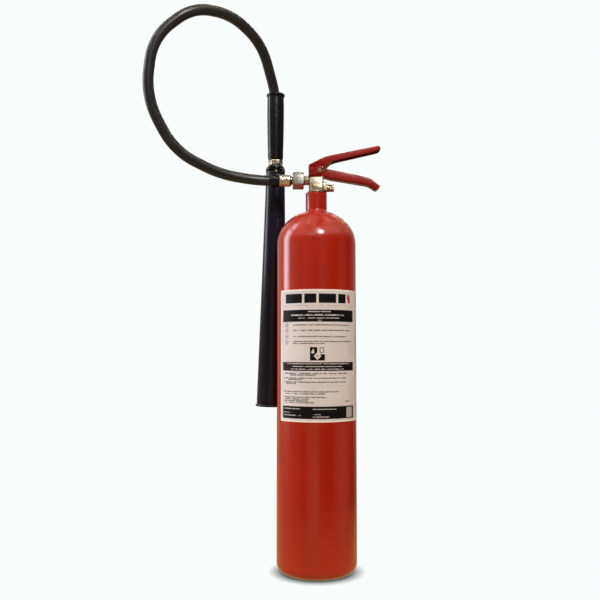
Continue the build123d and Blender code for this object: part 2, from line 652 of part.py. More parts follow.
HORN_NECK_R = 13.0
with BuildPart() as horn_collar:
    with BuildSketch(gun_plane):
        with BuildLine():
            low, high = COLLAR_Z
            shoulder = ThreePointArc((17.2, low + 4.5), (15.9, low + 12.0), (13.4, high))
            Polyline(shoulder @ 1, (SPIGOT_R + 0.1, high), (SPIGOT_R + 0.1, high - 3),
                     (HORN_NECK_R + 0.5, high - 3), (HORN_NECK_R + 0.5, low), (17.2, low), shoulder @ 0)
        make_face()
    revolve(axis=gun_axis)
    # holes for the two set screws that hold the horn
    with BuildSketch(Plane((GUN[0], GUN[1], low + 6), x_dir=(1, 0, 0), z_dir=(0, -1, 0))):
        Circle(1.5)
    extrude(amount=20, both=True, mode=Mode.SUBTRACT)
save(horn_collar, "horn_collar")

with BuildPart() as collar_screws:
    for side in (-1, 1):
        with BuildSketch(Plane((GUN[0], GUN[1] + side * (HORN_NECK_R + 0.7), COLLAR_Z[0] + 6),
                               x_dir=(1, 0, 0), z_dir=(0, side, 0))):
            Circle(1.4)
        extrude(amount=2.8)
save(collar_screws, "collar_screws")

# The horn hangs a little off the grip's axis, so it is drawn on an axis of its own.
horn_top = Vector(*GUN, COLLAR_Z[0])
horn_dir = (horn_top - Vector(*HORN_MOUTH)).normalized()
horn_len = (horn_top - Vector(*HORN_MOUTH)).length
horn_side = Vector(0, -1, 0).cross(horn_dir).normalized()
horn_plane = Plane(HORN_MOUTH, x_dir=horn_side, z_dir=horn_side.cross(horn_dir))
RIM_R, RIM_WIRE_R = 26.7, 2.3
with BuildPart() as horn:
    with BuildSketch(horn_plane):
        with BuildLine():
            Polyline(
                (HORN_R[1], 2), (HORN_R[0], horn_len - 0.5), (HORN_NECK_R, horn_len - 0.5),
                (HORN_NECK_R, horn_len + 12),
                (NOZZLE_R + 0.6, horn_len + 12), (NOZZLE_R + 0.6, horn_len + 8.6),
                (HORN_NECK_R - HORN_WALL, horn_len + 8.6), (HORN_NECK_R - HORN_WALL, horn_len - 3),
                (HORN_R[0] - HORN_WALL, horn_len - 8), (HORN_R[1] - HORN_WALL, 2), close=True,
            )
        make_face()
        with Locations((RIM_R, RIM_WIRE_R)):
            Circle(RIM_WIRE_R)
    revolve(axis=Axis(HORN_MOUTH, horn_dir))
save(horn, "horn")
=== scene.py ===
"""Looks of a portable carbon dioxide fire extinguisher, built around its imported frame.

The frame gives every place and size that moves or fits. This script dresses it: it turns the
cylinder, grip, collar and horn on a lathe, rounds the edges of the pressed and machined parts,
runs the hose along its route, prints the label and sets up a plain studio.

All lengths are metres in the frame's own axes. Sizes that a maker would give in millimetres are
written as such and multiplied by MM.
"""
from __future__ import annotations

import json
import logging
import math
from dataclasses import dataclass, field
from enum import Enum
from typing import Any, Sequence, Union

import bmesh
import bpy
from mathutils import Euler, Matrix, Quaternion, Vector

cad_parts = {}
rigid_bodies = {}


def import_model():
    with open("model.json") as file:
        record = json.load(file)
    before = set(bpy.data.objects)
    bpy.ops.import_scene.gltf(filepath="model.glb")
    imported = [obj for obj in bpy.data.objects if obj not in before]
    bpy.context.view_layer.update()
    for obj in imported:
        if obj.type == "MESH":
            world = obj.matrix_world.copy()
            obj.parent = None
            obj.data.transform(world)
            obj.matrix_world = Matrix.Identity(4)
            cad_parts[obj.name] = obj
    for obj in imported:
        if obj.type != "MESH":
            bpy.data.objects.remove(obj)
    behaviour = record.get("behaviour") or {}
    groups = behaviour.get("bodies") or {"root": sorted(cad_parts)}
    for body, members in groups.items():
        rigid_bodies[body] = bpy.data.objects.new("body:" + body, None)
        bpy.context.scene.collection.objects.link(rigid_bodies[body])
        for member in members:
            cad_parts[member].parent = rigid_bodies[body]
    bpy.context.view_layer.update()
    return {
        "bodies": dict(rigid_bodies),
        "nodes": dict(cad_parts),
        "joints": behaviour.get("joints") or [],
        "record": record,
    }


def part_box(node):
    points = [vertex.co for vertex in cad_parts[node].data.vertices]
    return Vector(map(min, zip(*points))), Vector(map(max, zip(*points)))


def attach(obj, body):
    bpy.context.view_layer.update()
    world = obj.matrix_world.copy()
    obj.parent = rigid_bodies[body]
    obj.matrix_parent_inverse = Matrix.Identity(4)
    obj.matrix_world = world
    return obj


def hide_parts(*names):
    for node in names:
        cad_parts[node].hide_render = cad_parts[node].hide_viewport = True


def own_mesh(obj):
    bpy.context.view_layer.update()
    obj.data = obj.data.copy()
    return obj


LOG = logging.getLogger("extinguisher")
MM = 0.001
UP = Vector((0.0, 0.0, 1.0))

Point2 = tuple[float, float]
Point3 = tuple[float, float, float]
Corner = tuple[float, float, float]
Color = tuple[float, float, float]
Value = Union["Wire", float, int]


class Body(Enum):
    """The frame's rigid bodies that new pieces ride on."""

    MAIN = "extinguisher"
    LEVER = "lever"
    RING = "ring"
    HOSE = "hose_and_horn"


class Grain(Enum):
    """How the surface of a metal was worked."""

    CAST = "cast"
    DRAWN = "drawn"
    TURNED = "turned"


class Skin(Enum):
    """The texture that a mould or a wrapping leaves on rubber and plastic."""

    CLOTH = "cloth"
    SATIN = "satin"
    LONG_FLOW = "long flow"


# ---------------------------------------------------------------- node graphs
class Wire:
    """An output socket that can be used in arithmetic."""

    def __init__(self, graph: "Graph", socket: bpy.types.NodeSocket) -> None:
        """Keep the socket and the graph that it belongs to.

        Args:
            graph: The graph that the socket belongs to.
            socket: The output socket, or None on an end node.
        """
        self.graph = graph
        self.socket = socket

    def math(self, operation: str, *others: Value, clamp: bool = False) -> "Wire":
        """Add a Math node whose first operand is this value."""
        return self.graph.math(operation, self, *others, clamp=clamp)

    def __add__(self, other: Value) -> "Wire":
        """Return the sum."""
        return self.math("ADD", other)

    def __radd__(self, other: Value) -> "Wire":
        """Return the sum, with a number on the left."""
        return self.graph.math("ADD", other, self)

    def __sub__(self, other: Value) -> "Wire":
        """Return the difference."""
        return self.math("SUBTRACT", other)

    def __rsub__(self, other: Value) -> "Wire":
        """Return the difference, with a number on the left."""
        return self.graph.math("SUBTRACT", other, self)

    def __mul__(self, other: Value) -> "Wire":
        """Return the product."""
        return self.math("MULTIPLY", other)

    def __rmul__(self, other: Value) -> "Wire":
        """Return the product, with a number on the left."""
        return self.graph.math("MULTIPLY", other, self)

    def __truediv__(self, other: Value) -> "Wire":
        """Return the quotient."""
        return self.math("DIVIDE", other)

    def __gt__(self, other: Value) -> "Wire":
        """Return 1 where the value is above the other, and 0 elsewhere."""
        return self.math("GREATER_THAN", other)

    def __lt__(self, other: Value) -> "Wire":
        """Return 1 where the value is below the other, and 0 elsewhere."""
        return self.math("LESS_THAN", other)

    def __or__(self, other: Value) -> "Wire":
        """Return the larger of two masks."""
        return self.math("MAXIMUM", other)

    def ramp(self, low: float, high: float) -> "Wire":
        """Return the value stretched so that low becomes 0 and high becomes 1, clamped."""
        return (self - low).math("MULTIPLY", 1.0 / (high - low), clamp=True)


class Graph:
    """A node tree under construction, for a material, a world or a geometry modifier."""

    def __init__(self, tree: bpy.types.NodeTree) -> None:
        """Empty the tree and start from nothing.

        Args:
            tree: The tree to build in.
        """
        self.tree = tree
        tree.nodes.clear()

    def node(self, kind: str, settings: dict[str, Any] | None = None,
             sockets: dict[str | int, Any] | None = None, output: str | int = 0) -> Wire:
        """Add any node.

        Args:
            kind: The node's type.
            settings: Its properties, set first. The key "stops" holds a colour ramp's stops.
            sockets: Values or wires for its inputs, by name or number.
            output: The output that is returned.

        Returns:
            The chosen output.
        """
        made = self.tree.nodes.new(kind)
        for name, value in (settings or {}).items():
            if name == "stops":
                self._set_stops(made.color_ramp, value)
            else:
                setattr(made, name, value)
        for name, value in (sockets or {}).items():
            target = made.inputs[name]
            if isinstance(value, Wire):
                self.tree.links.new(value.socket, target)
            else:
                target.default_value = value
        return Wire(self, made.outputs[output]) if made.outputs else Wire(self, None)

    def math(self, operation: str, *operands: Value, clamp: bool = False) -> Wire:
        """Add a Math node.

        Args:
            operation: Blender's name of the operation.
            operands: What its sockets take, in order.
            clamp: Whether the result is kept between 0 and 1.

        Returns:
            The node's result.
        """
        settings = {"operation": operation, "use_clamp": clamp}
        return self.node("ShaderNodeMath", settings, dict(enumerate(operands)))

    @staticmethod
    def _set_stops(ramp: bpy.types.ColorRamp, stops: Sequence[tuple[float, Color]]) -> None:
        """Give a colour ramp its stops.

        Args:
            ramp: The ramp, with its two first stops.
            stops: Pairs of a position and a colour.
        """
        while len(ramp.elements) < len(stops):
            ramp.elements.new(1.0)
        for element, (position, color) in zip(ramp.elements, stops):
            element.position = position
            element.color = (*color, 1.0)

    def mix(self, factor: Value, low: Any, high: Any) -> Wire:
        """Return a colour between low and high.

        Args:
            factor: 0 for low and 1 for high.
            low: A colour, or a wire that gives one.
            high: The same.

        Returns:
            The blended colour.
        """
        paint = [(*c, 1.0) if isinstance(c, tuple) and len(c) == 3 else c for c in (low, high)]
        return self.node("ShaderNodeMix", {"data_type": "RGBA"}, {0: factor, 6: paint[0], 7: paint[1]}, 2)

    def vector(self, x: Value, y: Value, z: Value = 0.0) -> Wire:
        """Return a vector made of three values."""
        return self.node("ShaderNodeCombineXYZ", {}, {0: x, 1: y, 2: z})

    def place(self, stretch: Point3 = (1.0, 1.0, 1.0)) -> Wire:
        """Return object coordinates in millimetres, divided along each axis by stretch.

        Args:
            stretch: How many times longer a pattern gets along each axis.

        Returns:
            The coordinates, as a vector.
        """
        where = self.node("ShaderNodeTexCoord", output="Object")
        scale = [1.0 / (MM * s) for s in stretch]
        return self.node("ShaderNodeMapping", {"vector_type": "POINT"}, {"Vector": where, "Scale": scale})

    def noise(self, where: Wire, scale: float, detail: float = 3.0, rough: float = 0.5) -> Wire:
        """Return fractal noise between 0 and 1, with scale in features per unit of where.

        Args:
            where: The point to look up.
            scale: The number of features to a unit of where.
            detail: The number of finer layers.
            rough: How strong the finer layers are.

        Returns:
            The noise.
        """
        sockets = {"Vector": where, "Scale": scale, "Detail": detail, "Roughness": rough}
        return self.node("ShaderNodeTexNoise", {}, sockets)

    def bump(self, height: Value, depth: float, normal: Wire | None = None, strength: float = 1.0) -> Wire:
        """Return a normal that is bumped by height, where 1 stands depth metres proud.

        Args:
            height: The height, between 0 and 1.
            depth: How far a height of 1 stands proud, in metres.
            normal: The normal that is bumped.
            strength: The share of the bump that is used.

        Returns:
            The new normal.
        """
        sockets: dict[str | int, Any] = {"Strength": strength, "Distance": depth, "Height": height}
        if normal is not None:
            sockets["Normal"] = normal
        return self.node("ShaderNodeBump", {}, sockets)

    def rounded_edge(self, radius: float) -> tuple[Wire, Wire]:
        """Return a normal that rounds edges, and a mask that is 1 on the edges.

        Args:
            radius: The radius of the rounding, in metres.

        Returns:
            The normal and the mask.
        """
        soft = self.node("ShaderNodeBevel", {"samples": 6}, {"Radius": radius})
        face = self.node("ShaderNodeNewGeometry", output="Normal")
        along = self.node("ShaderNodeVectorMath", {"operation": "DOT_PRODUCT"}, {0: soft, 1: face}, "Value")
        return soft, (1.0 - along).ramp(0.01, 0.12)


# ---------------------------------------------------------------- finishes
@dataclass(frozen=True)
class Finish:
    """A surface finish, named after one of the record's material slots."""

    slot: str
    color: Color
    roughness: float = 0.4

    def material(self) -> bpy.types.Material:
        """Return the finish's material, which is made the first time it is asked for.

        Returns:
            The material.
        """
        found = bpy.data.materials.get(self.slot + "_finish")
        if found is not None:
            return found
        made = bpy.data.materials.new(self.slot + "_finish")
        made.use_nodes = True
        made.diffuse_color = (*self.color, 1.0)
        graph = Graph(made.node_tree)
        shader = graph.node("ShaderNodeBsdfPrincipled", {}, self.surface(graph))
        graph.node("ShaderNodeOutputMaterial", {}, {"Surface": shader})
        return made

    def surface(self, graph: Graph) -> dict[str | int, Any]:
        """Return the values and wires of the Principled shader's sockets.

        Args:
            graph: The material's graph; not used here.

        Returns:
            Socket names with what they take.
        """
        return {"Base Color": (*self.color, 1.0), "Roughness": self.roughness}


@dataclass(frozen=True)
class Paint(Finish):
    """Stoved enamel over steel, with orange peel and paint rubbed thin on the edges."""

    primer: Color = (0.16, 0.05, 0.04)
    coat: float = 0.7
    wear: float = 0.5
    edge: float = 0.9 * MM
    foot: float = 0.0
    peel: float = 0.015
    forged_from: float = 552.0
    forging: float = 0.42
    gloss: float = 0.5

    def surface(self, graph: Graph) -> dict[str | int, Any]:
        """Return red enamel that varies a little and is rubbed on its edges.

        Args:
            graph: The material's graph.

        Returns:
            Socket names with what they take.
        """
        where = graph.place()
        cloud = graph.noise(where, 0.012, 2.0)
        speck = graph.noise(where, 0.45, 4.0, 0.65)
        peel = graph.noise(where, 0.30, 2.0, 0.5) * self.peel
        soft, edge = graph.rounded_edge(self.edge)
        rubbed = (edge * (speck.ramp(0.40, 0.62))) * self.wear
        if self.foot > 0.0:
            height = graph.node("ShaderNodeSeparateXYZ", {}, {0: where}, "Z")
            rubbed = rubbed | ((1.0 - height.ramp(0.0, self.foot)) * speck.ramp(0.42, 0.60) * self.wear)
            forged = height.ramp(self.forged_from, self.forged_from + 14.0)
            peel = peel + graph.noise(where, 0.27, 3.0, 0.6) * forged * self.forging
        deep = tuple(c * 0.86 for c in self.color)
        tone = graph.mix(cloud.ramp(0.35, 0.65), deep, self.color)
        color = graph.mix(rubbed, tone, self.primer)
        scuff = graph.noise(graph.place((1.0, 1.0, 9.0)), 0.35, 5.0, 0.7)
        rough = self.roughness + scuff.ramp(0.5, 0.8) * 0.10 + rubbed * 0.3
        skin = graph.bump(peel, MM, soft)
        return {
            "Base Color": color, "Roughness": rough, "Specular IOR Level": self.gloss,
            "Coat Weight": self.coat, "Coat Roughness": 0.05, "Normal": skin,
        }


@dataclass(frozen=True)
class Metal(Finish):
    """Bare or plated metal with the marks of casting, drawing or turning, and painted shade in its hollows.
    """

    grain: Grain = Grain.CAST
    depth: float = 0.03 * MM
    tarnish: float = 0.35
    # painted_shade sets how strongly shade is painted into hollows and between parts; crevice sets how far
    # out it reaches.
    painted_shade: float = 0.8
    crevice: float = 3.5 * MM
    edge: float = 0.35 * MM

    def surface(self, graph: Graph) -> dict[str | int, Any]:
        """Return metal with its tool marks and a little tarnish.

        Args:
            graph: The material's graph.

        Returns:
            Socket names with what they take.
        """
        where = graph.place()
        stretch = {
            Grain.CAST: (1.0, 1.0, 1.0), Grain.DRAWN: (26.0, 1.0, 26.0), Grain.TURNED: (0.6, 22.0, 22.0),
        }
        scale = 1.1 if self.grain is Grain.CAST else 2.6
        marks = graph.noise(graph.place(stretch[self.grain]), scale, 4.0, 0.6)
        stain = graph.noise(where, 0.16, 5.0, 0.6)
        soft, edge = graph.rounded_edge(self.edge)
        # Painted shade: ambient occlusion darkens the colour towards near-black in hollows and where parts
        # meet.
        open_air = graph.node("ShaderNodeAmbientOcclusion", {"samples": 6}, {"Distance": self.crevice}, "AO")
        dull = tuple(c * f for c, f in zip(self.color, (0.60, 0.53, 0.44)))
        painted_shade = tuple(c * 0.10 for c in self.color)
        bright = tuple(min(1.0, c * 1.15) for c in self.color)
        tone = graph.mix(stain.ramp(0.45, 0.75) * self.tarnish, self.color, dull)
        worked = graph.mix(edge * 0.6, tone, bright)
        color = graph.mix((1.0 - open_air).ramp(0.08, 0.50) * self.painted_shade, worked, painted_shade)
        rough = self.roughness + (marks - 0.5) * 0.22 + stain.ramp(0.5, 0.8) * 0.12
        return {
            "Base Color": color, "Metallic": 1.0, "Roughness": rough,
            "Normal": graph.bump(marks, self.depth, soft, 0.7),
        }


@dataclass(frozen=True)
class Polymer(Finish):
    """Rubber or moulded plastic with a skin, dust and light scuffs."""

    skin: Skin = Skin.SATIN
    dust: float = 0.12
    depth: float = 0.06 * MM
    gloss: float = 0.45

    def surface(self, graph: Graph) -> dict[str | int, Any]:
        """Return a dark skin that is dusty in places.

        Args:
            graph: The material's graph.

        Returns:
            Socket names with what they take.
        """
        where = graph.place()
        if self.skin is Skin.CLOTH:
            height = self._weave(graph)
        elif self.skin is Skin.LONG_FLOW:
            height = graph.noise(graph.place((1.0, 1.0, 30.0)), 0.5, 3.0)
        else:
            height = graph.noise(where, 2.2, 2.0)
        cloud = graph.noise(where, 0.03, 4.0, 0.6)
        scuff = graph.noise(graph.place((1.0, 1.0, 5.0)), 0.5, 6.0, 0.7)
        gray = tuple(c * 0.4 + 0.17 for c in self.color)
        amount = cloud.ramp(0.45, 0.8) * scuff.ramp(0.35, 0.75) * self.dust
        rough = self.roughness + (scuff - 0.5) * 0.25 + amount * 0.3
        return {
            "Base Color": graph.mix(amount, self.color, gray), "Roughness": rough,
            "Specular IOR Level": self.gloss, "Normal": graph.bump(height, self.depth, None, 0.8),
        }

    @staticmethod
    def _weave(graph: Graph) -> Wire:
        """Return the height of the cloth wrapping that marks a hose's cover, from its UV map.

        Args:
            graph: The material's graph.

        Returns:
            The height, between 0 and about 1.
        """
        uv = graph.node("ShaderNodeUVMap", {"uv_map": "UVMap"})
        across = graph.node("ShaderNodeSeparateXYZ", {}, {0: uv}, "X")
        along = graph.node("ShaderNodeSeparateXYZ", {}, {0: uv}, "Y")
        lay = across * 14.0
        run = along * 560.0
        one = ((lay + run) * math.tau).math("SINE")
        two = ((lay - run) * math.tau).math("SINE")
        lap = (across + along * 26.0).math("FRACT")
        return (one * two) * 0.35 + lap.ramp(0.0, 0.08) * 0.6


@dataclass(frozen=True)
class PrintLine:
    """A line of small generic print on the label, in millimetres from its lower left corner."""

    left: float
    right: float
    height: float
    tall: float = 1.9
    dark: bool = True
    strength: float = 0.95


@dataclass(frozen=True)
class PrintedFilm(Finish):
    """A printed film label: bands, rows of small generic print and a plain pictogram."""

    size: Point2 = (190.0, 217.0)
    ink: Color = (0.006, 0.0055, 0.007)
    divider: float = 149.0
    bands: tuple[tuple[float, float, float, float], ...] = (
        (7.5, 147.0, 163.7, 183.3), (7.5, 147.0, 83.2, 97.4), (7.5, 147.0, 5.4, 25.6),
    )
    lines: tuple[PrintLine, ...] = (
        PrintLine(8, 148, 190.2, 0.7, True, 0.55), PrintLine(8, 148, 187.6, 0.4, True, 0.4),
        PrintLine(58, 96, 180.2, 1.7, False), PrintLine(27, 122, 174.6, 2.3, False, 0.95),
        PrintLine(40, 112, 169.6, 1.3, False), PrintLine(74, 81, 166.0, 0.9, False),
        PrintLine(31, 138, 158.3), PrintLine(31, 137, 149.4), PrintLine(31, 127, 139.2),
        PrintLine(31, 139, 131.3), PrintLine(31, 86, 128.0),
        PrintLine(18, 134, 94.8, 1.3, False), PrintLine(30, 117, 90.4, 1.3, False),
        PrintLine(26, 121, 86.0, 1.5, False, 0.9),
        PrintLine(11, 129, 79.0), PrintLine(24, 72, 76.4), PrintLine(11, 126, 71.4), PrintLine(20, 48, 69.0),
        PrintLine(11, 126, 64.9), PrintLine(16, 37, 62.5), PrintLine(14, 120, 58.6, 0.8, True, 0.3),
        PrintLine(10, 110, 49.3), PrintLine(14, 86, 46.0), PrintLine(10, 88, 40.3), PrintLine(14, 60, 37.4),
        PrintLine(10, 58, 34.4), PrintLine(14, 68, 31.6), PrintLine(124, 138, 33.0),
        PrintLine(11, 44, 21.6, 1.3, False), PrintLine(66, 106, 21.2, 1.3, False),
        PrintLine(11, 24, 15.2, 1.0, False), PrintLine(11, 46, 10.8, 1.2, False),
        PrintLine(66, 79, 12.6, 1.0, False), PrintLine(66, 93, 8.8, 1.2, False),
    )
    steps: tuple[float, ...] = (158.3, 149.4, 139.2, 130.0)

    def surface(self, graph: Graph) -> dict[str | int, Any]:
        """Return the film with its print, slightly yellowed and creased.

        Args:
            graph: The material's graph.

        Returns:
            Socket names with what they take.
        """
        uv = graph.node("ShaderNodeUVMap", {"uv_map": "UVMap"})
        u = graph.node("ShaderNodeSeparateXYZ", {}, {0: uv}, "X") * self.size[0]
        v = graph.node("ShaderNodeSeparateXYZ", {}, {0: uv}, "Y") * self.size[1]
        black = self._bands(u, v) | self._heading(u, v) | self._tiles(u, v)
        dark, light = self._rows(graph, u, v)
        dark = dark | self._step_marks(u, v) | self._side_print(graph, u, v)
        light = light | self._seal(graph, u, v) | self._flame(u, v)
        frame_line = self._frame(u, v)
        cloud = graph.noise(graph.place(), 0.02, 3.0)
        film = graph.mix(cloud.ramp(0.3, 0.7), self.color, tuple(c * 0.93 for c in self.color))
        edge = graph.mix(frame_line, film, (0.92, 0.89, 0.87))
        inked = graph.mix(black, edge, self.ink)
        printed = graph.mix(dark, inked, tuple(c + 0.07 for c in self.ink))
        reversed_out = graph.mix(light, printed, tuple(c * 0.95 for c in self.color))
        color = graph.mix(self._drop(u, v), reversed_out, (0.45, 0.02, 0.012))
        crease = graph.noise(graph.place((1.0, 1.0, 2.0)), 0.05, 4.0, 0.55)
        return {
            "Base Color": color, "Roughness": self.roughness + black * 0.04,
            "Specular IOR Level": 0.12, "Normal": graph.bump(crease, 0.12 * MM, None, 0.5),
        }

    @staticmethod
    def _box(u: Wire, v: Wire, left: float, right: float, low: float, high: float) -> Wire:
        """Return 1 inside a rectangle of the label."""
        return (u > left) * (u < right) * (v > low) * (v < high)

    def _bands(self, u: Wire, v: Wire) -> Wire:
        """Return the three black bands.

        Args:
            u: The distance across the label, in millimetres.
            v: The distance up it.

        Returns:
            A mask.
        """
        first, *rest = [self._box(u, v, *band) for band in self.bands]
        for band in rest:
            first = first | band
        return first

    def _heading(self, u: Wire, v: Wire) -> Wire:
        """Return the heading: four plain bars in place of a name.

        Args:
            u: The distance across the label, in millimetres.
            v: The distance up it.

        Returns:
            A mask.
        """
        whole = self._box(u, v, 14.5, 48.0, 194.4, 209.8)
        for left, right in ((52.0, 72.0), (76.0, 106.0), (110.0, 126.0)):
            whole = whole | self._box(u, v, left, right, 194.4, 209.8)
        return whole

    def _drop(self, u: Wire, v: Wire) -> Wire:
        """Return the small red drop after the heading.

        Args:
            u: The distance across the label, in millimetres.
            v: The distance up it.

        Returns:
            A mask.
        """
        across = (u - 133.5) / 3.4
        up = (v - 202.0) / 7.0
        return (across * across + up * up + up * across * 0.8) < 1.0

    def _tiles(self, u: Wire, v: Wire) -> Wire:
        """Return the pictogram's black tiles, with a plain light diamond left open.

        Args:
            u: The distance across the label, in millimetres.
            v: The distance up it.

        Returns:
            A mask.
        """
        left = self._box(u, v, 61.5, 73.5, 100.2, 122.2)
        right = self._box(u, v, 73.5, 86.0, 100.2, 110.5)
        frame = self._box(u, v, 77.5, 84.5, 113.0, 121.5) * (1.0 - self._box(u, v, 78.5, 83.5, 114.0, 120.5))
        across = (u - 73.8).math("ABSOLUTE")
        tall = (v - 107.5).math("ABSOLUTE")
        diamond = (across + tall) < 6.3
        return (left | right) * (1.0 - diamond) | frame | ((across + tall) < 1.6)

    def _flame(self, u: Wire, v: Wire) -> Wire:
        """Return a small plain flame on the left tile: a round foot with a leaning point.

        Args:
            u: The distance across the label, in millimetres.
            v: The distance up it.

        Returns:
            A mask.
        """
        across = (u - 66.3) - (v - 114.0) * 0.16
        up = v - 114.0
        foot = (across * across + up * up) < 6.2
        side = across.math("ABSOLUTE")
        point = (side < (6.4 - up) * 0.36) * (up > 0.6) * (up < 6.4)
        return foot | point

    def _step_marks(self, u: Wire, v: Wire) -> Wire:
        """Return the round marks beside the steps.

        Args:
            u: The distance across the label, in millimetres.
            v: The distance up it.

        Returns:
            A mask.
        """
        marks: Wire | None = None
        for height in self.steps:
            far = ((u - 17.5) * (u - 17.5) + (v - height) * (v - height)) / 14.5
            ring = ((far > 0.62) * (far < 1.0)) | (far < 0.14)
            marks = ring if marks is None else marks | ring
        return marks * 0.85

    def _rows(self, graph: Graph, u: Wire, v: Wire) -> tuple[Wire, Wire]:
        """Return the rows of small print, as a mask for dark ink and one for light.

        Args:
            graph: The material's graph.
            u: The distance across the label, in millimetres.
            v: The distance up it.

        Returns:
            The two masks.
        """
        masks: dict[bool, Wire | None] = {True: None, False: None}
        for line in self.lines:
            low, high = line.height - line.tall / 2, line.height + line.tall / 2
            row = self._box(u, v, line.left, line.right, low, high) * line.strength
            before = masks[line.dark]
            masks[line.dark] = row if before is None else before | row
        step = v.math("SNAP", 1.3) * 3.7
        words = graph.noise(graph.vector(u * 0.32, step), 1.0, 0.0) > 0.38
        marks = graph.noise(graph.vector(u * 1.5, step + v * 0.8), 1.0, 1.0).ramp(0.36, 0.52)
        print_mask = words * (0.55 + marks * 0.45)
        return masks[True] * print_mask, masks[False] * print_mask

    def _side_print(self, graph: Graph, u: Wire, v: Wire) -> Wire:
        """Return the upright rows on the panel beside the divider.

        Args:
            graph: The material's graph.
            u: The distance across the label, in millimetres.
            v: The distance up it.

        Returns:
            A mask.
        """
        cell = ((u - 153.0) / 4.2).math("FRACT")
        inside = self._box(u, v, 153.0, 184.0, 70.0, 178.0)
        dashes = graph.noise(graph.vector(v * 0.3, u.math("SNAP", 4.2)), 1.0, 0.0) > 0.47
        fine = graph.noise(graph.vector(v * 1.5, u * 0.9), 1.0, 1.0).ramp(0.4, 0.55)
        return inside * (cell < 0.28) * dashes * (0.3 + fine * 0.5)

    def _seal(self, graph: Graph, u: Wire, v: Wire) -> Wire:
        """Return the light plate with a fine pattern at the foot of the label.

        Args:
            graph: The material's graph.
            u: The distance across the label, in millimetres.
            v: The distance up it.

        Returns:
            A mask.
        """
        plate = self._box(u, v, 127.0, 142.0, 7.0, 23.5)
        grain = graph.noise(graph.vector(u, v), 0.9, 1.0).ramp(0.35, 0.6)
        return plate * (0.45 + grain * 0.4)

    def _frame(self, u: Wire, v: Wire) -> Wire:
        """Return the light border and the divider of the side panel.

        Args:
            u: The distance across the label, in millimetres.
            v: The distance up it.

        Returns:
            A mask.
        """
        width, height = self.size
        inner = self._box(u, v, 3.0, width - 3.0, 2.6, height - 2.6)
        rule = (u > self.divider) * (u < self.divider + 1.4)
        return (1.0 - inner) | rule


CYLINDER_RED = Paint("cylinder_paint", (0.45, 0.0165, 0.0025), 0.16, coat=0.35, foot=2.5, wear=0.7)
LEVER_RED = Paint("lever_paint", (0.30, 0.006, 0.005), 0.34, coat=0.12, gloss=0.22, wear=0.8, edge=0.5 * MM)
NICKEL_BRASS = Metal("nickel_brass", (0.52, 0.44, 0.34), 0.33)
ZINC_STEEL = Metal("zinc_steel", (0.44, 0.44, 0.42), 0.36, grain=Grain.TURNED, tarnish=0.25)
# Its long crevice reach paints shade on the hexagon between the grip and the collar.
BRIGHT_NICKEL = Metal(
    "bright_nickel", (0.78, 0.71, 0.61), 0.24, grain=Grain.TURNED, depth=0.004 * MM, tarnish=0.2,
    crevice=11.0 * MM,
)
STAINLESS = Metal("stainless", (0.62, 0.62, 0.63), 0.22, grain=Grain.DRAWN, depth=0.01 * MM, tarnish=0.1)
BARE_BRASS = Metal("bare_brass", (0.70, 0.48, 0.22), 0.28, grain=Grain.TURNED)
COPPER_DISC = Metal("copper_disc", (0.70, 0.36, 0.22), 0.30, grain=Grain.DRAWN)
DIP_ALUMINIUM = Metal("dip_aluminium", (0.70, 0.71, 0.72), 0.32, grain=Grain.DRAWN)
COLLAR_BLACK = Metal("collar_black", (0.075, 0.075, 0.08), 0.28, grain=Grain.CAST, tarnish=0.1, edge=0.2 * MM)
HOSE_RUBBER = Polymer(
    "hose_rubber", (0.013, 0.0135, 0.018), 0.36, skin=Skin.CLOTH, dust=0.2, depth=0.02 * MM, gloss=0.6,
)
GRIP_RUBBER = Polymer("grip_rubber", (0.004, 0.004, 0.007), 0.24, dust=0.03, depth=0.004 * MM, gloss=0.32)
HORN_PLASTIC = Polymer(
    "horn_plastic", (0.005, 0.0045, 0.018), 0.26, skin=Skin.LONG_FLOW, dust=0.02, depth=0.002 * MM,
    gloss=0.36,
)
SEAL_RUBBER = Polymer("seal_rubber", (0.02, 0.02, 0.02), 0.55)
PTFE = Polymer("ptfe", (0.80, 0.80, 0.78), 0.45, dust=0.05)
SEAL_PLASTIC = Polymer("seal_plastic", (0.17, 0.17, 0.055), 0.45, dust=0.2)
LABEL_FILM = PrintedFilm("label_film", (0.80, 0.74, 0.755), 0.42)


# ---------------------------------------------------------------- mesh work
def rounded(corners: Sequence[Corner], steps: int = 5) -> list[Point2]:
    """Round the corners of a line of straight runs.

    Args:
        corners: Points as (x, y, radius). A radius of 0 keeps the corner sharp.
        steps: How many faces each rounded corner gets.

    Returns:
        The points of the rounded line, in order.
    """
    points: list[Point2] = []
    for index, (x, y, radius) in enumerate(corners):
        if radius <= 0.0 or index in (0, len(corners) - 1):
            points.append((x, y))
            continue
        here = Vector((x, y))
        back = Vector(corners[index - 1][:2]) - here
        ahead = Vector(corners[index + 1][:2]) - here
        half = back.angle(ahead) / 2
        reach = min(radius / math.tan(half), 0.48 * back.length, 0.48 * ahead.length)
        start, end = here + back.normalized() * reach, here + ahead.normalized() * reach
        for step in range(steps + 1):
            t = step / steps
            curve = start * (1 - t) ** 2 + here * (2 * t * (1 - t)) + end * t**2
            points.append((curve.x, curve.y))
    return points


def arc(center: Point2, radii: Point2, start: float, end: float, steps: int) -> list[Corner]:
    """Return points along an elliptical arc, between two angles in degrees.

    Args:
        center: The middle of the ellipse.
        radii: Its two half axes.
        start: The first angle.
        end: The last angle.
        steps: How many straight runs the arc gets.

    Returns:
        The points, as corners that stay sharp.
    """
    points: list[Corner] = []
    for step in range(steps + 1):
        angle = math.radians(start + (end - start) * step / steps)
        points.append((center[0] + radii[0] * math.cos(angle), center[1] + radii[1] * math.sin(angle), 0.0))
    return points


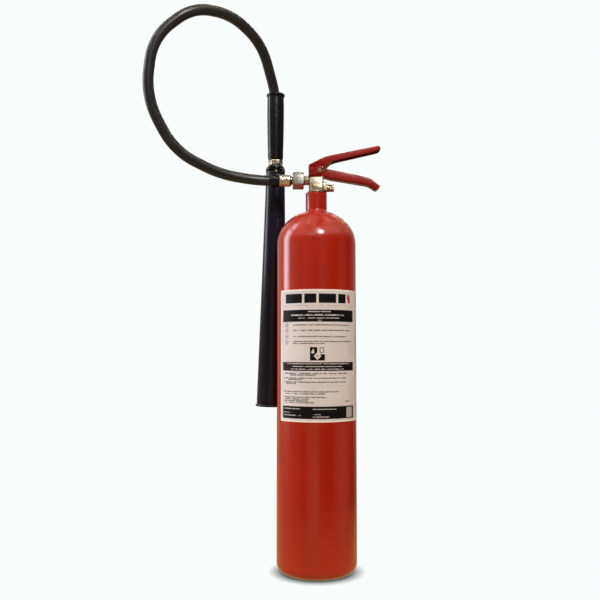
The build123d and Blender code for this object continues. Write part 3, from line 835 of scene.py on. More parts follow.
def tidy(mesh: bpy.types.Mesh, sharp: float = 32.0) -> bpy.types.Mesh:
    """Merge doubles, turn faces outwards and shade smooth up to an angle in degrees.

    Args:
        mesh: The mesh to change.
        sharp: Edges that turn by more than this many degrees stay sharp.

    Returns:
        The same mesh.
    """
    work = bmesh.new()
    work.from_mesh(mesh)
    bmesh.ops.remove_doubles(work, verts=work.verts, dist=0.5e-6)
    bmesh.ops.recalc_face_normals(work, faces=work.faces)
    work.to_mesh(mesh)
    work.free()
    mesh.shade_smooth()
    mesh.set_sharp_from_angle(angle=math.radians(sharp))
    return mesh


@dataclass
class Turning:
    """A shape turned about an axis, from an outline of (radius, height) in metres."""

    outline: list[Point2]
    foot: Vector = field(default_factory=Vector)
    up: Vector = field(default_factory=lambda: UP.copy())
    segments: int = 96
    closed: bool = True

    def mesh(self, name: str, sharp: float = 32.0) -> bpy.types.Mesh:
        """Turn the outline into a mesh.

        Args:
            name: The mesh's name.
            sharp: Edges that turn by more than this many degrees stay sharp.

        Returns:
            The closed mesh, in the frame's axes.
        """
        turn = UP.rotation_difference(self.up.normalized()).to_matrix()
        rings: list[list[int]] = []
        points: list[Vector] = []
        for radius, height in self.outline:
            count = 1 if radius < 1e-7 else self.segments
            rings.append(list(range(len(points), len(points) + count)))
            for step in range(count):
                angle = math.tau * step / self.segments
                spot = Vector((radius * math.cos(angle), radius * math.sin(angle), height))
                points.append(self.foot + turn @ spot)
        faces: list[list[int]] = []
        pairs = list(zip(rings, rings[1:]))
        if self.closed:
            pairs.append((rings[-1], rings[0]))
        for low, high in pairs:
            faces.extend(self._strip(low, high))
        made = bpy.data.meshes.new(name)
        made.from_pydata([tuple(p) for p in points], [], faces)
        return tidy(made, sharp)

    @staticmethod
    def _strip(low: list[int], high: list[int]) -> list[list[int]]:
        """Return the faces between two rings, either of which may be a single pole.

        Args:
            low: The points of the first ring.
            high: The points of the second ring.

        Returns:
            Faces of three or four points.
        """
        count = max(len(low), len(high))
        faces: list[list[int]] = []
        if count == 1:
            return faces
        for step in range(count):
            after = (step + 1) % count
            a, b = low[step % len(low)], low[after % len(low)]
            c, d = high[after % len(high)], high[step % len(high)]
            face = [a, b, c, d]
            faces.append([v for i, v in enumerate(face) if v not in face[:i]])
        return faces


@dataclass
class Workshop:
    """Places finished pieces on the frame's bodies."""

    frame: dict[str, Any]
    count: int = 0
    widest_face: int = 60

    def add(self, name: str, mesh: bpy.types.Mesh, finish: Finish, body: Body,
            *nodes: str) -> bpy.types.Object:
        """Put a piece in the scene.

        Args:
            name: The piece's name.
            mesh: Its mesh, already in place.
            finish: What it is made of or coated with.
            body: The body that it rides on.
            nodes: The CAD nodes that it stands for.

        Returns:
            The new object.
        """
        piece = bpy.data.objects.new(name, mesh)
        bpy.context.scene.collection.objects.link(piece)
        mesh.materials.clear()
        mesh.materials.append(finish.material())
        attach(piece, body.value)
        if nodes:
            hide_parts(*nodes)
        self.count += 1
        LOG.info("%s rides on %s", name, body.value)
        return piece

    def paint(self, node: str, finish: Finish) -> None:
        """Give a CAD node that stays as it is its finish.

        Args:
            node: The CAD node.
            finish: Its finish.
        """
        piece = self.frame["nodes"][node]
        for index, _ in enumerate(piece.material_slots):
            piece.material_slots[index].material = finish.material()
        LOG.info("%s keeps its shape", node)

    def eased(self, node: str, finish: Finish, body: Body, width: float) -> bpy.types.Object:
        """Replace a CAD node by a copy whose sharp edges are eased.

        Args:
            node: The CAD node.
            finish: The finish of the copy.
            body: The body that it rides on.
            width: The width of the eased edges, in metres.

        Returns:
            The new piece.
        """
        mesh = self.frame["nodes"][node].data.copy()
        work = bmesh.new()
        work.from_mesh(mesh)
        bmesh.ops.remove_doubles(work, verts=work.verts, dist=1e-6)
        bmesh.ops.dissolve_limit(work, angle_limit=math.radians(0.5), verts=work.verts, edges=work.edges)
        ragged = [face for face in work.faces if len(face.verts) > self.widest_face]
        bmesh.ops.triangulate(work, faces=ragged, quad_method="BEAUTY", ngon_method="BEAUTY")
        work.to_mesh(mesh)
        work.free()
        mesh.shade_smooth()
        piece = self.add(node + "_eased", mesh, finish, body, node)
        bevel = piece.modifiers.new("eased edges", "BEVEL")
        bevel.width = width
        bevel.segments = 3
        bevel.limit_method = "ANGLE"
        bevel.angle_limit = math.radians(32)
        bevel.harden_normals = True
        return piece


def middle(node: str) -> Vector:
    """Return the middle of a CAD node's box.

    Args:
        node: The CAD node.

    Returns:
        The middle, in metres.
    """
    low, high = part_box(node)
    return (low + high) / 2


# ---------------------------------------------------------------- repeated geometry
class GeometryTree(Graph):
    """A Geometry Nodes tree with named inputs, whose result becomes a plain mesh."""

    def __init__(self, name: str) -> None:
        """Make an empty tree that gives out one geometry.

        Args:
            name: The tree's name.
        """
        super().__init__(bpy.data.node_groups.new(name, "GeometryNodeTree"))
        self.tree.interface.new_socket("Geometry", in_out="OUTPUT", socket_type="NodeSocketGeometry")
        self.inputs = self.tree.nodes.new("NodeGroupInput")
        self.values: dict[str, float | int] = {}

    def size(self, name: str, value: float | int) -> Wire:
        """Add a named input and return its wire.

        Args:
            name: The input's name.
            value: What the modifier sets it to.

        Returns:
            The wire of the input.
        """
        kind = "NodeSocketInt" if isinstance(value, int) else "NodeSocketFloat"
        self.tree.interface.new_socket(name, in_out="INPUT", socket_type=kind)
        self.values[name] = value
        return Wire(self, self.inputs.outputs[name])

    def result(self, geometry: Wire, finish: Finish, name: str) -> bpy.types.Mesh:
        """End the tree in Realize Instances and Set Material, and read its mesh.

        Args:
            geometry: What the tree has made.
            finish: The finish of every face.
            name: The name of the mesh.

        Returns:
            A plain mesh, with no modifier behind it.
        """
        real = self.node("GeometryNodeRealizeInstances", {}, {0: geometry})
        done = self.node("GeometryNodeSetMaterial", {}, {"Geometry": real, "Material": finish.material()})
        self.node("NodeGroupOutput", {}, {0: done})
        holder = bpy.data.objects.new(name + "_holder", bpy.data.meshes.new(name + "_start"))
        bpy.context.scene.collection.objects.link(holder)
        modifier = holder.modifiers.new("maker", "NODES")
        modifier.node_group = self.tree
        for socket in self.tree.interface.items_tree:
            if socket.in_out == "INPUT":
                modifier[socket.identifier] = self.values[socket.name]
        graph = bpy.context.evaluated_depsgraph_get()
        mesh = bpy.data.meshes.new_from_object(holder.evaluated_get(graph))
        mesh.name = name
        bpy.data.objects.remove(holder)
        return mesh


@dataclass(frozen=True)
class Knurl:
    """Rows of small pointed studs round a barrel, each row set half a pitch from the last."""

    around: int
    rows: int
    radius_low: float
    radius_high: float
    pitch: float
    stud: float

    def mesh(self, name: str, foot: Vector, finish: Finish) -> bpy.types.Mesh:
        """Make the studs.

        Args:
            name: The mesh's name.
            foot: The middle of the lowest row.
            finish: Their finish.

        Returns:
            One mesh that holds them all.
        """
        tree = GeometryTree(name + "_maker")
        around = tree.size("Studs around", self.around)
        rows = tree.size("Rows", self.rows)
        low = tree.size("Lowest radius", self.radius_low)
        high = tree.size("Highest radius", self.radius_high)
        pitch = tree.size("Row pitch", self.pitch)
        stud = tree.size("Stud size", self.stud)
        total = around * rows
        points = tree.node("GeometryNodeMeshLine", {}, {"Count": total})
        index = tree.node("GeometryNodeInputIndex")
        row = (index / around).math("FLOOR")
        share = row / (rows - 1.0)
        angle = (index + row * 0.5) / around * math.tau
        bulge = (share * math.pi).math("SINE") * (self.stud * 0.9)
        radius = low + (high - low) * share + bulge
        x = radius * angle.math("COSINE")
        y = radius * angle.math("SINE")
        spot = tree.vector(x, y, row * pitch)
        placed = tree.node("GeometryNodeSetPosition", {}, {"Geometry": points, "Position": spot})
        cone = tree.node("GeometryNodeMeshCone", {}, {
            "Vertices": 4, "Radius Top": stud * 0.22, "Radius Bottom": stud, "Depth": stud * 0.9,
        })
        away = tree.vector(x, y, 0.0)
        outward = tree.node("FunctionNodeAlignRotationToVector", {"axis": "Z"}, {"Vector": away})
        studs = tree.node("GeometryNodeInstanceOnPoints", {}, {
            "Points": placed, "Instance": cone, "Rotation": outward,
        })
        moved = tree.node("GeometryNodeTransform", {}, {"Geometry": studs, "Translation": tuple(foot)})
        return tree.result(moved, finish, name)


@dataclass(frozen=True)
class Ribs:
    """Evenly spaced raised rings round a straight barrel."""

    count: int
    radius: float
    pitch: float
    thickness: float

    def mesh(self, name: str, foot: Vector, finish: Finish) -> bpy.types.Mesh:
        """Make the rings.

        Args:
            name: The mesh's name.
            foot: The middle of the lowest ring.
            finish: Their finish.

        Returns:
            One mesh that holds them all.
        """
        tree = GeometryTree(name + "_maker")
        count = tree.size("Count", self.count)
        radius = tree.size("Radius", self.radius)
        pitch = tree.size("Pitch", self.pitch)
        thick = tree.size("Thickness", self.thickness)
        path, section = (
            tree.node("GeometryNodeCurvePrimitiveCircle", {"mode": "RADIUS"},
                      {"Resolution": points, "Radius": reach})
            for points, reach in ((96, radius), (10, thick))
        )
        ring = tree.node("GeometryNodeCurveToMesh", {}, {"Curve": path, "Profile Curve": section})
        line = tree.node("GeometryNodeMeshLine", {}, {"Count": count, "Offset": tree.vector(0.0, 0.0, pitch)})
        rings = tree.node("GeometryNodeInstanceOnPoints", {}, {"Points": line, "Instance": ring})
        moved = tree.node("GeometryNodeTransform", {}, {"Geometry": rings, "Translation": tuple(foot)})
        made = tree.result(moved, finish, name)
        return tidy(made, 60.0)


# ---------------------------------------------------------------- the cylinder
@dataclass
class GasCylinder:
    """The steel cylinder with its neck and its label."""

    wall: float = 4.5 * MM
    straight_top: float = 554.0 * MM
    shoulder: float = 60.0 * MM
    foot_corner: float = 17.0 * MM
    foot_inside: float = 46.0 * MM
    base_rise: float = 16.0 * MM
    neck: float = 18.4 * MM
    bore: float = 12.5 * MM
    label_from: float = -62.0
    label_span: float = 160.0

    def build(self, shop: Workshop) -> None:
        """Make the shell, the label and the neck ring.

        Args:
            shop: Where finished pieces go.
        """
        low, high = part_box("cylinder_shell")
        self.radius = (high.x - low.x) / 2
        self.top = high.z
        shell = Turning(self._outline(), segments=224, closed=False).mesh("cylinder", 40.0)
        shop.add("cylinder", shell, CYLINDER_RED, Body.MAIN, "cylinder_shell")
        shop.add("label_print", self._label(), LABEL_FILM, Body.MAIN, "label")
        shop.paint("neck_o_ring", SEAL_RUBBER)

    def _outline(self) -> list[Point2]:
        """Return the shell's outline, from the hollow base round to the inside of the base.

        Returns:
            Points of (radius, height), in metres.
        """
        sphere = (self.foot_inside**2 + self.base_rise**2) / (2 * self.base_rise)
        span = math.degrees(math.asin(self.foot_inside / sphere))
        middle_z = self.base_rise - sphere
        outside = arc((0.0, middle_z), (sphere, sphere), 90.0, 90.0 - span, 14)
        outside[0] = (0.0, self.base_rise, 0.0)
        outside[-1] = (self.foot_inside, 0.0, 2.0 * MM)
        corner = (self.radius - self.foot_corner, self.foot_corner)
        outside += arc(corner, (self.foot_corner,) * 2, -90.0, 0.0, 14)
        outside += [(self.radius, self.straight_top * share, 0.0) for share in (0.25, 0.5, 0.75)]
        neck_turn = math.degrees(math.acos(self.neck / self.radius))
        dome = arc((0.0, self.straight_top), (self.radius, self.shoulder), 0.0, neck_turn, 40)
        outside += dome[:-3]
        outside += [(self.neck, dome[-1][1], 6.0 * MM), (self.neck, self.top, 1.2 * MM)]
        outside += [(15.0 * MM, self.top, 0.3 * MM), (15.0 * MM, self.top - 2.5 * MM, 0.0)]
        inner = self.radius - self.wall
        turn = math.degrees(math.acos(self.bore / inner))
        outside.append((self.bore, self.top - 2.5 * MM, 0.0))
        outside += arc((0.0, self.straight_top), (inner, self.shoulder - self.wall), turn, 0.0, 16)
        outside += [(inner, self.wall, 7.0 * MM), (self.foot_inside + 2.0 * MM, self.wall, 0.0)]
        outside += [(0.0, self.base_rise + self.wall, 0.0)]
        return rounded(outside, 8)

    def _label(self) -> bpy.types.Mesh:
        """Return the label as a thin curved film, with a UV map from 0 to 1.

        Returns:
            The closed mesh.
        """
        low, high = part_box("label")
        columns, rows = 120, 12
        thickness = (0.06 * MM, 0.24 * MM)
        points: list[Point3] = []
        coordinates: list[Point2] = []
        for lift in thickness:
            for row in range(rows + 1):
                for column in range(columns + 1):
                    u, v = column / columns, row / rows
                    angle = math.radians(self.label_from + self.label_span * u)
                    reach = self.radius + lift
                    height = low.z + (high.z - low.z) * v
                    points.append((reach * math.sin(angle), -reach * math.cos(angle), height))
                    coordinates.append((u, v))
        layer = (rows + 1) * (columns + 1)

        def at(side: int, row: int, column: int) -> int:
            """Return the number of a point of the grid."""
            return side * layer + row * (columns + 1) + column

        faces: list[list[int]] = []
        for row in range(rows):
            for column in range(columns):
                for side in (0, 1):
                    faces.append([
                        at(side, row, column), at(side, row, column + 1),
                        at(side, row + 1, column + 1), at(side, row + 1, column),
                    ])
        edge = [[(row, column) for column in range(columns + 1)] for row in (0, rows)]
        edge += [[(row, column) for row in range(rows + 1)] for column in (0, columns)]
        for run in edge:
            for near, far in zip(run, run[1:]):
                faces.append([at(0, *near), at(0, *far), at(1, *far), at(1, *near)])
        mesh = bpy.data.meshes.new("label_print")
        mesh.from_pydata(points, [], faces)
        layout = mesh.uv_layers.new(name="UVMap")
        for loop in mesh.loops:
            layout.data[loop.index].uv = coordinates[loop.vertex_index]
        return tidy(mesh, 50.0)


# ---------------------------------------------------------------- the valve
@dataclass
class Valve:
    """The valve body with what screws into it and what works inside it."""

    ease: float = 0.45 * MM
    stroke: float = 2.1 * MM

    def build(self, shop: Workshop) -> None:
        """Dress the valve's pieces.

        Args:
            shop: Where finished pieces go.
        """
        self._spring(shop)
        shop.eased("valve_body", NICKEL_BRASS, Body.MAIN, self.ease)
        shop.eased("burst_plug", NICKEL_BRASS, Body.MAIN, 0.35 * MM)
        shop.eased("gland_nut", NICKEL_BRASS, Body.MAIN, 0.2 * MM)
        shop.eased("handle_nut", ZINC_STEEL, Body.MAIN, 0.2 * MM)
        inside = {
            "dip_tube": DIP_ALUMINIUM, "spring_plug": BARE_BRASS,
            "valve_stem": STAINLESS, "seat_washer": PTFE, "stem_o_ring": SEAL_RUBBER,
            "burst_disc": COPPER_DISC, "burst_washer": COPPER_DISC, "outlet_washer": PTFE,
        }
        for node, finish in inside.items():
            shop.paint(node, finish)

    def _spring(self, shop: Workshop) -> None:
        """Put in the spring, which on the real valve shortens by the spindle's stroke as the lever is
        squeezed; here it is a fixed copy of the CAD node's coil.

        Args:
            shop: Where finished pieces go.
        """
        coil = tidy(shop.frame["nodes"]["valve_spring"].data.copy(), 50.0)
        spring = shop.add("wound_spring", coil, STAINLESS, Body.MAIN, "valve_spring")
        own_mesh(spring)


@dataclass
class Handles:
    """The squeeze lever, the carrying handle and the safety pin with its ring and seal."""

    def build(self, shop: Workshop) -> None:
        """Dress the handles and the pin.

        Args:
            shop: Where finished pieces go.
        """
        shop.eased("squeeze_lever", LEVER_RED, Body.LEVER, 0.5 * MM)
        shop.eased("carry_handle", LEVER_RED, Body.MAIN, 0.5 * MM)
        shop.paint("pivot_pin", LEVER_RED)
        shop.paint("safety_pin", STAINLESS)
        shop.add("split_ring", self._split_ring(), STAINLESS, Body.RING, "pull_ring")
        shop.eased("tamper_seal", SEAL_PLASTIC, Body.LEVER, 0.25 * MM)

    @staticmethod
    def _split_ring() -> bpy.types.Mesh:
        """Return the pull ring as two turns of wire side by side, as a split ring is made.

        Returns:
            The closed mesh.
        """
        low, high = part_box("pull_ring")
        wire = (high.y - low.y) / 4
        radius = (high.x - low.x) / 2 - 2 * wire
        center = (low + high) / 2
        steps, sides, turns = 200, 10, 1.94
        points: list[Point3] = []
        faces: list[list[int]] = []
        for step in range(steps + 1):
            share = step / steps
            angle = math.tau * turns * share
            swing = max(-1.0, min(1.0, (share - 0.5) * 14.0))
            side_shift = wire * math.sin(swing * math.pi / 2)
            for side in range(sides):
                around = math.tau * side / sides
                reach = radius + wire * math.cos(around)
                points.append((
                    center.x + reach * math.sin(angle),
                    center.y + side_shift + wire * math.sin(around),
                    center.z - reach * math.cos(angle),
                ))
        for step in range(steps):
            for side in range(sides):
                after = (side + 1) % sides
                first, second = step * sides, (step + 1) * sides
                faces.append([first + side, first + after, second + after, second + side])
        faces.append(list(range(sides)))
        faces.append([steps * sides + side for side in range(sides)])
        mesh = bpy.data.meshes.new("split_ring")
        mesh.from_pydata(points, [], faces)
        return tidy(mesh, 50.0)


# ---------------------------------------------------------------- the hose
@dataclass
class Coupling:
    """The union nut, the crimped ferrule and the sleeve at the valve's outlet."""

    def build(self, shop: Workshop) -> None:
        """Dress the coupling.

        Args:
            shop: Where finished pieces go.
        """
        shop.eased("union_nut", ZINC_STEEL, Body.MAIN, 0.3 * MM)
        shop.paint("hose_tail", NICKEL_BRASS)
        low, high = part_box("hose_ferrule")
        radius = (high.z - low.z) / 2
        axis = Vector((0.0, 0.0, middle("hose_ferrule").z))
        crimp = radius - 0.45 * MM
        outline = rounded([
            (6.6 * MM, high.x, 0.2 * MM), (8.3 * MM, high.x, 0.6 * MM),
            (8.5 * MM, high.x - 1.6 * MM, 0.8 * MM), (radius, high.x - 3.4 * MM, 1.0 * MM),
            (radius, high.x - 8.2 * MM, 0.3 * MM), (crimp, high.x - 8.8 * MM, 0.3 * MM),
            (crimp, low.x + 4.6 * MM, 0.3 * MM), (radius, low.x + 4.0 * MM, 0.3 * MM),
            (radius, low.x, 1.0 * MM), (9.4 * MM, low.x, 0.3 * MM), (9.2 * MM, low.x + 2.0 * MM, 0.0),
            (9.2 * MM, high.x - 3.4 * MM, 0.0), (6.6 * MM, high.x - 3.4 * MM, 0.0),
        ], 4)
        ferrule = Turning(outline, axis, Vector((1.0, 0.0, 0.0))).mesh("ferrule")
        shop.add("ferrule", ferrule, BRIGHT_NICKEL, Body.HOSE, "hose_ferrule")
        low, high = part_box("hose_sleeve")
        radius = (high.z - low.z) / 2
        outline = rounded([
            (9.6 * MM, low.x, 0.2 * MM), (radius - 0.7 * MM, low.x, 0.8 * MM),
            (radius, low.x + 2.6 * MM, 1.4 * MM), (radius, high.x - 1.6 * MM, 0.8 * MM),
            (radius - 0.5 * MM, high.x, 0.5 * MM), (9.6 * MM, high.x, 0.2 * MM),
        ], 4)
        sleeve = Turning(outline, axis, Vector((1.0, 0.0, 0.0))).mesh("sleeve")
        shop.add("sleeve", sleeve, GRIP_RUBBER, Body.HOSE, "hose_sleeve")


@dataclass
class Hose:
    """The hose, one tube that bends along its route from the ferrule into the grip."""

    radius: float = 9.1 * MM
    bore: float = 4.5 * MM
    sides: int = 40
    bend_share: float = 0.45
    route: tuple[Point3, ...] = (
        (-46, 0, 667), (-100, 0, 667), (-165, -18, 674), (-239, -55, 705), (-283, -84, 789), (-270, -92, 886),
        (-206, -82, 941), (-145, -42, 946), (-96, 12, 916), (-73, 60, 840), (-73, 60, 778),
    )

    def build(self, shop: Workshop) -> None:
        """Args:
            shop: Where finished pieces go.
        """
        line = self._centreline()
        length = sum((b - a).length for a, b in zip(line, line[1:]))
        piece = shop.add("rubber_hose", self._tube(line), HOSE_RUBBER, Body.HOSE, "hose")
        tuple(line[0])
        [tuple(p) for p in line]
        LOG.info("hose length %.3f m", length)

    def _centreline(self) -> list[Vector]:
        """Return points along the route, with the widest arc that fits at each corner.

        Returns:
            The points, in metres.
        """
        corners = [Vector(spot) * MM for spot in self.route]
        line = [corners[0]]
        for before, here, after in zip(corners, corners[1:], corners[2:]):
            back, ahead = before - here, after - here
            reach = self.bend_share * min(back.length, ahead.length)
            half = back.angle(ahead) / 2
            start = here + back.normalized() * reach
            center = here + (back.normalized() + ahead.normalized()).normalized() * reach / math.cos(half)
            turn = math.pi - 2 * half
            axis = back.cross(ahead).normalized() * -1.0
            steps = max(4, round(math.degrees(turn) / 2.0))
            for step in range(steps + 1):
                spin = Quaternion(axis, turn * step / steps)
                line.append(center + spin @ (start - center))
        return [*line, corners[-1]]

    def _tube(self, line: list[Vector]) -> bpy.types.Mesh:
        """Return a hollow tube along a line, with the distance along it in its UV map.

        Args:
            line: The points of its centre line.

        Returns:
            The closed mesh.
        """
        runs = [(b - a).normalized() for a, b in zip(line, line[1:])]
        tangents = [runs[0], *((a + b).normalized() for a, b in zip(runs, runs[1:])), runs[-1]]
        side = tangents[0].orthogonal().normalized()
        points: list[Vector] = []
        reach: list[float] = [0.0]
        for a, b in zip(line, line[1:]):
            reach.append(reach[-1] + (b - a).length)
        rings = []
        for index, (spot, along) in enumerate(zip(line, tangents)):
            if index:
                side = tangents[index - 1].rotation_difference(along) @ side
            over = along.cross(side)
            ring = []
            for radius in (self.radius, self.bore):
                for step in range(self.sides):
                    angle = math.tau * step / self.sides
                    points.append(spot + (side * math.cos(angle) + over * math.sin(angle)) * radius)
                    ring.append(len(points) - 1)
            rings.append(ring)
        faces: list[list[int]] = []
        coordinates: list[list[Point2]] = []
        shares = [(step / self.sides, (step + 1) / self.sides) for step in range(self.sides)]
        for row, (near, far) in enumerate(zip(rings, rings[1:])):
            here, there = reach[row], reach[row + 1]
            for layer in (0, self.sides):
                for step, (left, right) in enumerate(shares):
                    one, two = layer + step, layer + (step + 1) % self.sides
                    faces.append([near[one], near[two], far[two], far[one]])
                    coordinates.append([(left, here), (right, here), (right, there), (left, there)])
        for ring, distance in ((rings[0], reach[0]), (rings[-1], reach[-1])):
            for step in range(self.sides):
                after = (step + 1) % self.sides
                faces.append([ring[step], ring[after], ring[self.sides + after], ring[self.sides + step]])
                coordinates.append([(step / self.sides, distance)] * 4)
        mesh = bpy.data.meshes.new("rubber_hose")
        mesh.from_pydata([tuple(p) for p in points], [], faces)
        layout = mesh.uv_layers.new(name="UVMap")
        for polygon, corners in zip(mesh.polygons, coordinates):
            for loop, spot in zip(polygon.loop_indices, corners):
                layout.data[loop].uv = spot
        return tidy(mesh, 50.0)


# ---------------------------------------------------------------- grip and horn
@dataclass
class DischargeHorn:
    """The grip, the nickel hexagon, the knurled collar and the horn."""

    horn_wall: float = 1.8 * MM
    horn_mouth: float = 27.0 * MM
    horn_top: float = 16.9 * MM
    rim: float = 29.0 * MM
    mouth: Vector = field(default_factory=lambda: Vector((-79.0, 62.0, 272.0)) * MM)
    ribs: Ribs = Ribs(4, 13.75 * MM, 2.6 * MM, 0.45 * MM)
    knurl: Knurl = Knurl(42, 8, 16.3 * MM, 14.7 * MM, 1.3 * MM, 1.1 * MM)

    def build(self, shop: Workshop) -> None:
        """Make every piece from the grip down to the rim.

        Args:
            shop: Where finished pieces go.
        """
        grip = middle("grip")
        self.axis = Vector((grip.x, grip.y, 0.0))
        self._grip(shop)
        shop.eased("horn_tube", BRIGHT_NICKEL, Body.HOSE, 0.4 * MM)
        shop.paint("horn_ferrule", BRIGHT_NICKEL)
        shop.paint("horn_nozzle", BARE_BRASS)
        shop.paint("collar_screws", STAINLESS)
        self._collar(shop)
        self._horn(shop)

    def _grip(self, shop: Workshop) -> None:
        """Make the rubber grip with its flange, and the ribs at its foot.

        Args:
            shop: Where finished pieces go.
        """
        low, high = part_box("grip")
        z0, z1 = low.z, high.z
        outline = rounded([(r * MM, z, c * MM) for r, z, c in (
            (11.4, z0, 0.3), (12.9, z0, 0.7), (13.3, z0 + 2 * MM, 1.0), (13.9, z0 + 14 * MM, 6.0),
            (14.5, z0 + 30 * MM, 10.0), (15.0, z0 + 55 * MM, 20.0), (15.3, z1 - 45 * MM, 20.0),
            (15.3, z1 - 20 * MM, 12.0), (15.0, z1 - 8 * MM, 3.0), (15.4, z1 - 4.9 * MM, 1.6),
            (16.7, z1 - 3.9 * MM, 0.8), (16.8, z1 - 1.4 * MM, 1.2), (16.0, z1 - 0.2 * MM, 0.8),
            (14.7, z1, 0.5), (10.5, z1 - 35 * MM, 0.0), (11.4, z1 - 39 * MM, 0.0),
        )], 6)
        grip = Turning(outline, self.axis, segments=96).mesh("grip_body", 40.0)
        shop.add("grip_body", grip, GRIP_RUBBER, Body.HOSE, "grip")
        mesh = self.ribs.mesh("grip_ribs", self.axis + UP * (z0 + 5.0 * MM), GRIP_RUBBER)
        shop.add("grip_ribs", mesh, GRIP_RUBBER, Body.HOSE)

    def _collar(self, shop: Workshop) -> None:
        """Make the collar and the knurling on it.

        Args:
            shop: Where finished pieces go.
        """
        low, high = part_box("horn_collar")
        z0, z1 = low.z, high.z
        outline = rounded([(r * MM, z, c * MM) for r, z, c in (
            (6.3, z1, 0.2), (12.6, z1, 0.8), (13.4, z1 - 1.2 * MM, 0.8), (15.0, z1 - 3.2 * MM, 1.5),
            (16.3, z0 + 4.5 * MM, 2.0), (16.6, z0 + 2.6 * MM, 0.5), (17.1, z0 + 2.2 * MM, 0.4),
            (17.1, z0, 0.5), (13.6, z0, 0.2), (13.6, z1 - 3.1 * MM, 0.0), (6.3, z1 - 3.1 * MM, 0.0),
        )], 5)
        collar = Turning(outline, self.axis).mesh("collar", 40.0)
        shop.add("collar", collar, COLLAR_BLACK, Body.HOSE, "horn_collar")
        studs = self.knurl.mesh("collar_knurl", self.axis + UP * (z0 + 3.6 * MM), COLLAR_BLACK)
        shop.add("collar_knurl", studs, COLLAR_BLACK, Body.HOSE)

    def _horn(self, shop: Workshop) -> None:
        """Make the horn with its rolled rim, on its own slightly tilted axis.

        Args:
            shop: Where finished pieces go.
        """
        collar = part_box("horn_collar")[0].z
        top = Vector((self.axis.x, self.axis.y, collar))
        along = top - self.mouth
        length = along.length
        inside = self.horn_wall
        rim_wire = 2.3 * MM
        rim_center = (self.rim - rim_wire, rim_wire)
        roll = arc(rim_center, (rim_wire, rim_wire), 115.0, -160.0, 14)
        outline = rounded([
            (self.horn_mouth, 6.0 * MM, 0.0), *roll,
            (self.horn_mouth - inside, 6.0 * MM, 0.0), (self.horn_top - inside, length - 8 * MM, 3 * MM),
            (11.2 * MM, length - 3 * MM, 1 * MM), (11.2 * MM, length + 8.6 * MM, 0.0),
            (9.4 * MM, length + 8.6 * MM, 0.0), (9.4 * MM, length + 12 * MM, 0.0),
            (13.0 * MM, length + 12 * MM, 0.5 * MM), (13.0 * MM, length - 0.5 * MM, 0.0),
            (self.horn_top, length - 0.5 * MM, 0.8 * MM),
        ], 5)
        horn = Turning(outline, self.mouth, along, segments=128).mesh("horn_cone", 40.0)
        shop.add("horn_cone", horn, HORN_PLASTIC, Body.HOSE, "horn")


# ---------------------------------------------------------------- the studio
@dataclass(frozen=True)
class Softbox:
    """A plain rectangular studio light."""

    name: str
    place: Point3
    aim: Point3
    size: Point2
    power: float
    color: Color = (1.0, 1.0, 1.0)

    def build(self) -> None:
        """Hang the light and turn it to its aim."""
        light = bpy.data.lights.new(self.name, "AREA")
        light.shape = "RECTANGLE"
        light.size, light.size_y = self.size
        light.energy = self.power
        light.color = self.color
        holder = bpy.data.objects.new(self.name, light)
        holder.location = self.place
        toward = Vector(self.aim) - Vector(self.place)
        holder.rotation_euler = toward.to_track_quat("-Z", "Y").to_euler()
        bpy.context.scene.collection.objects.link(holder)


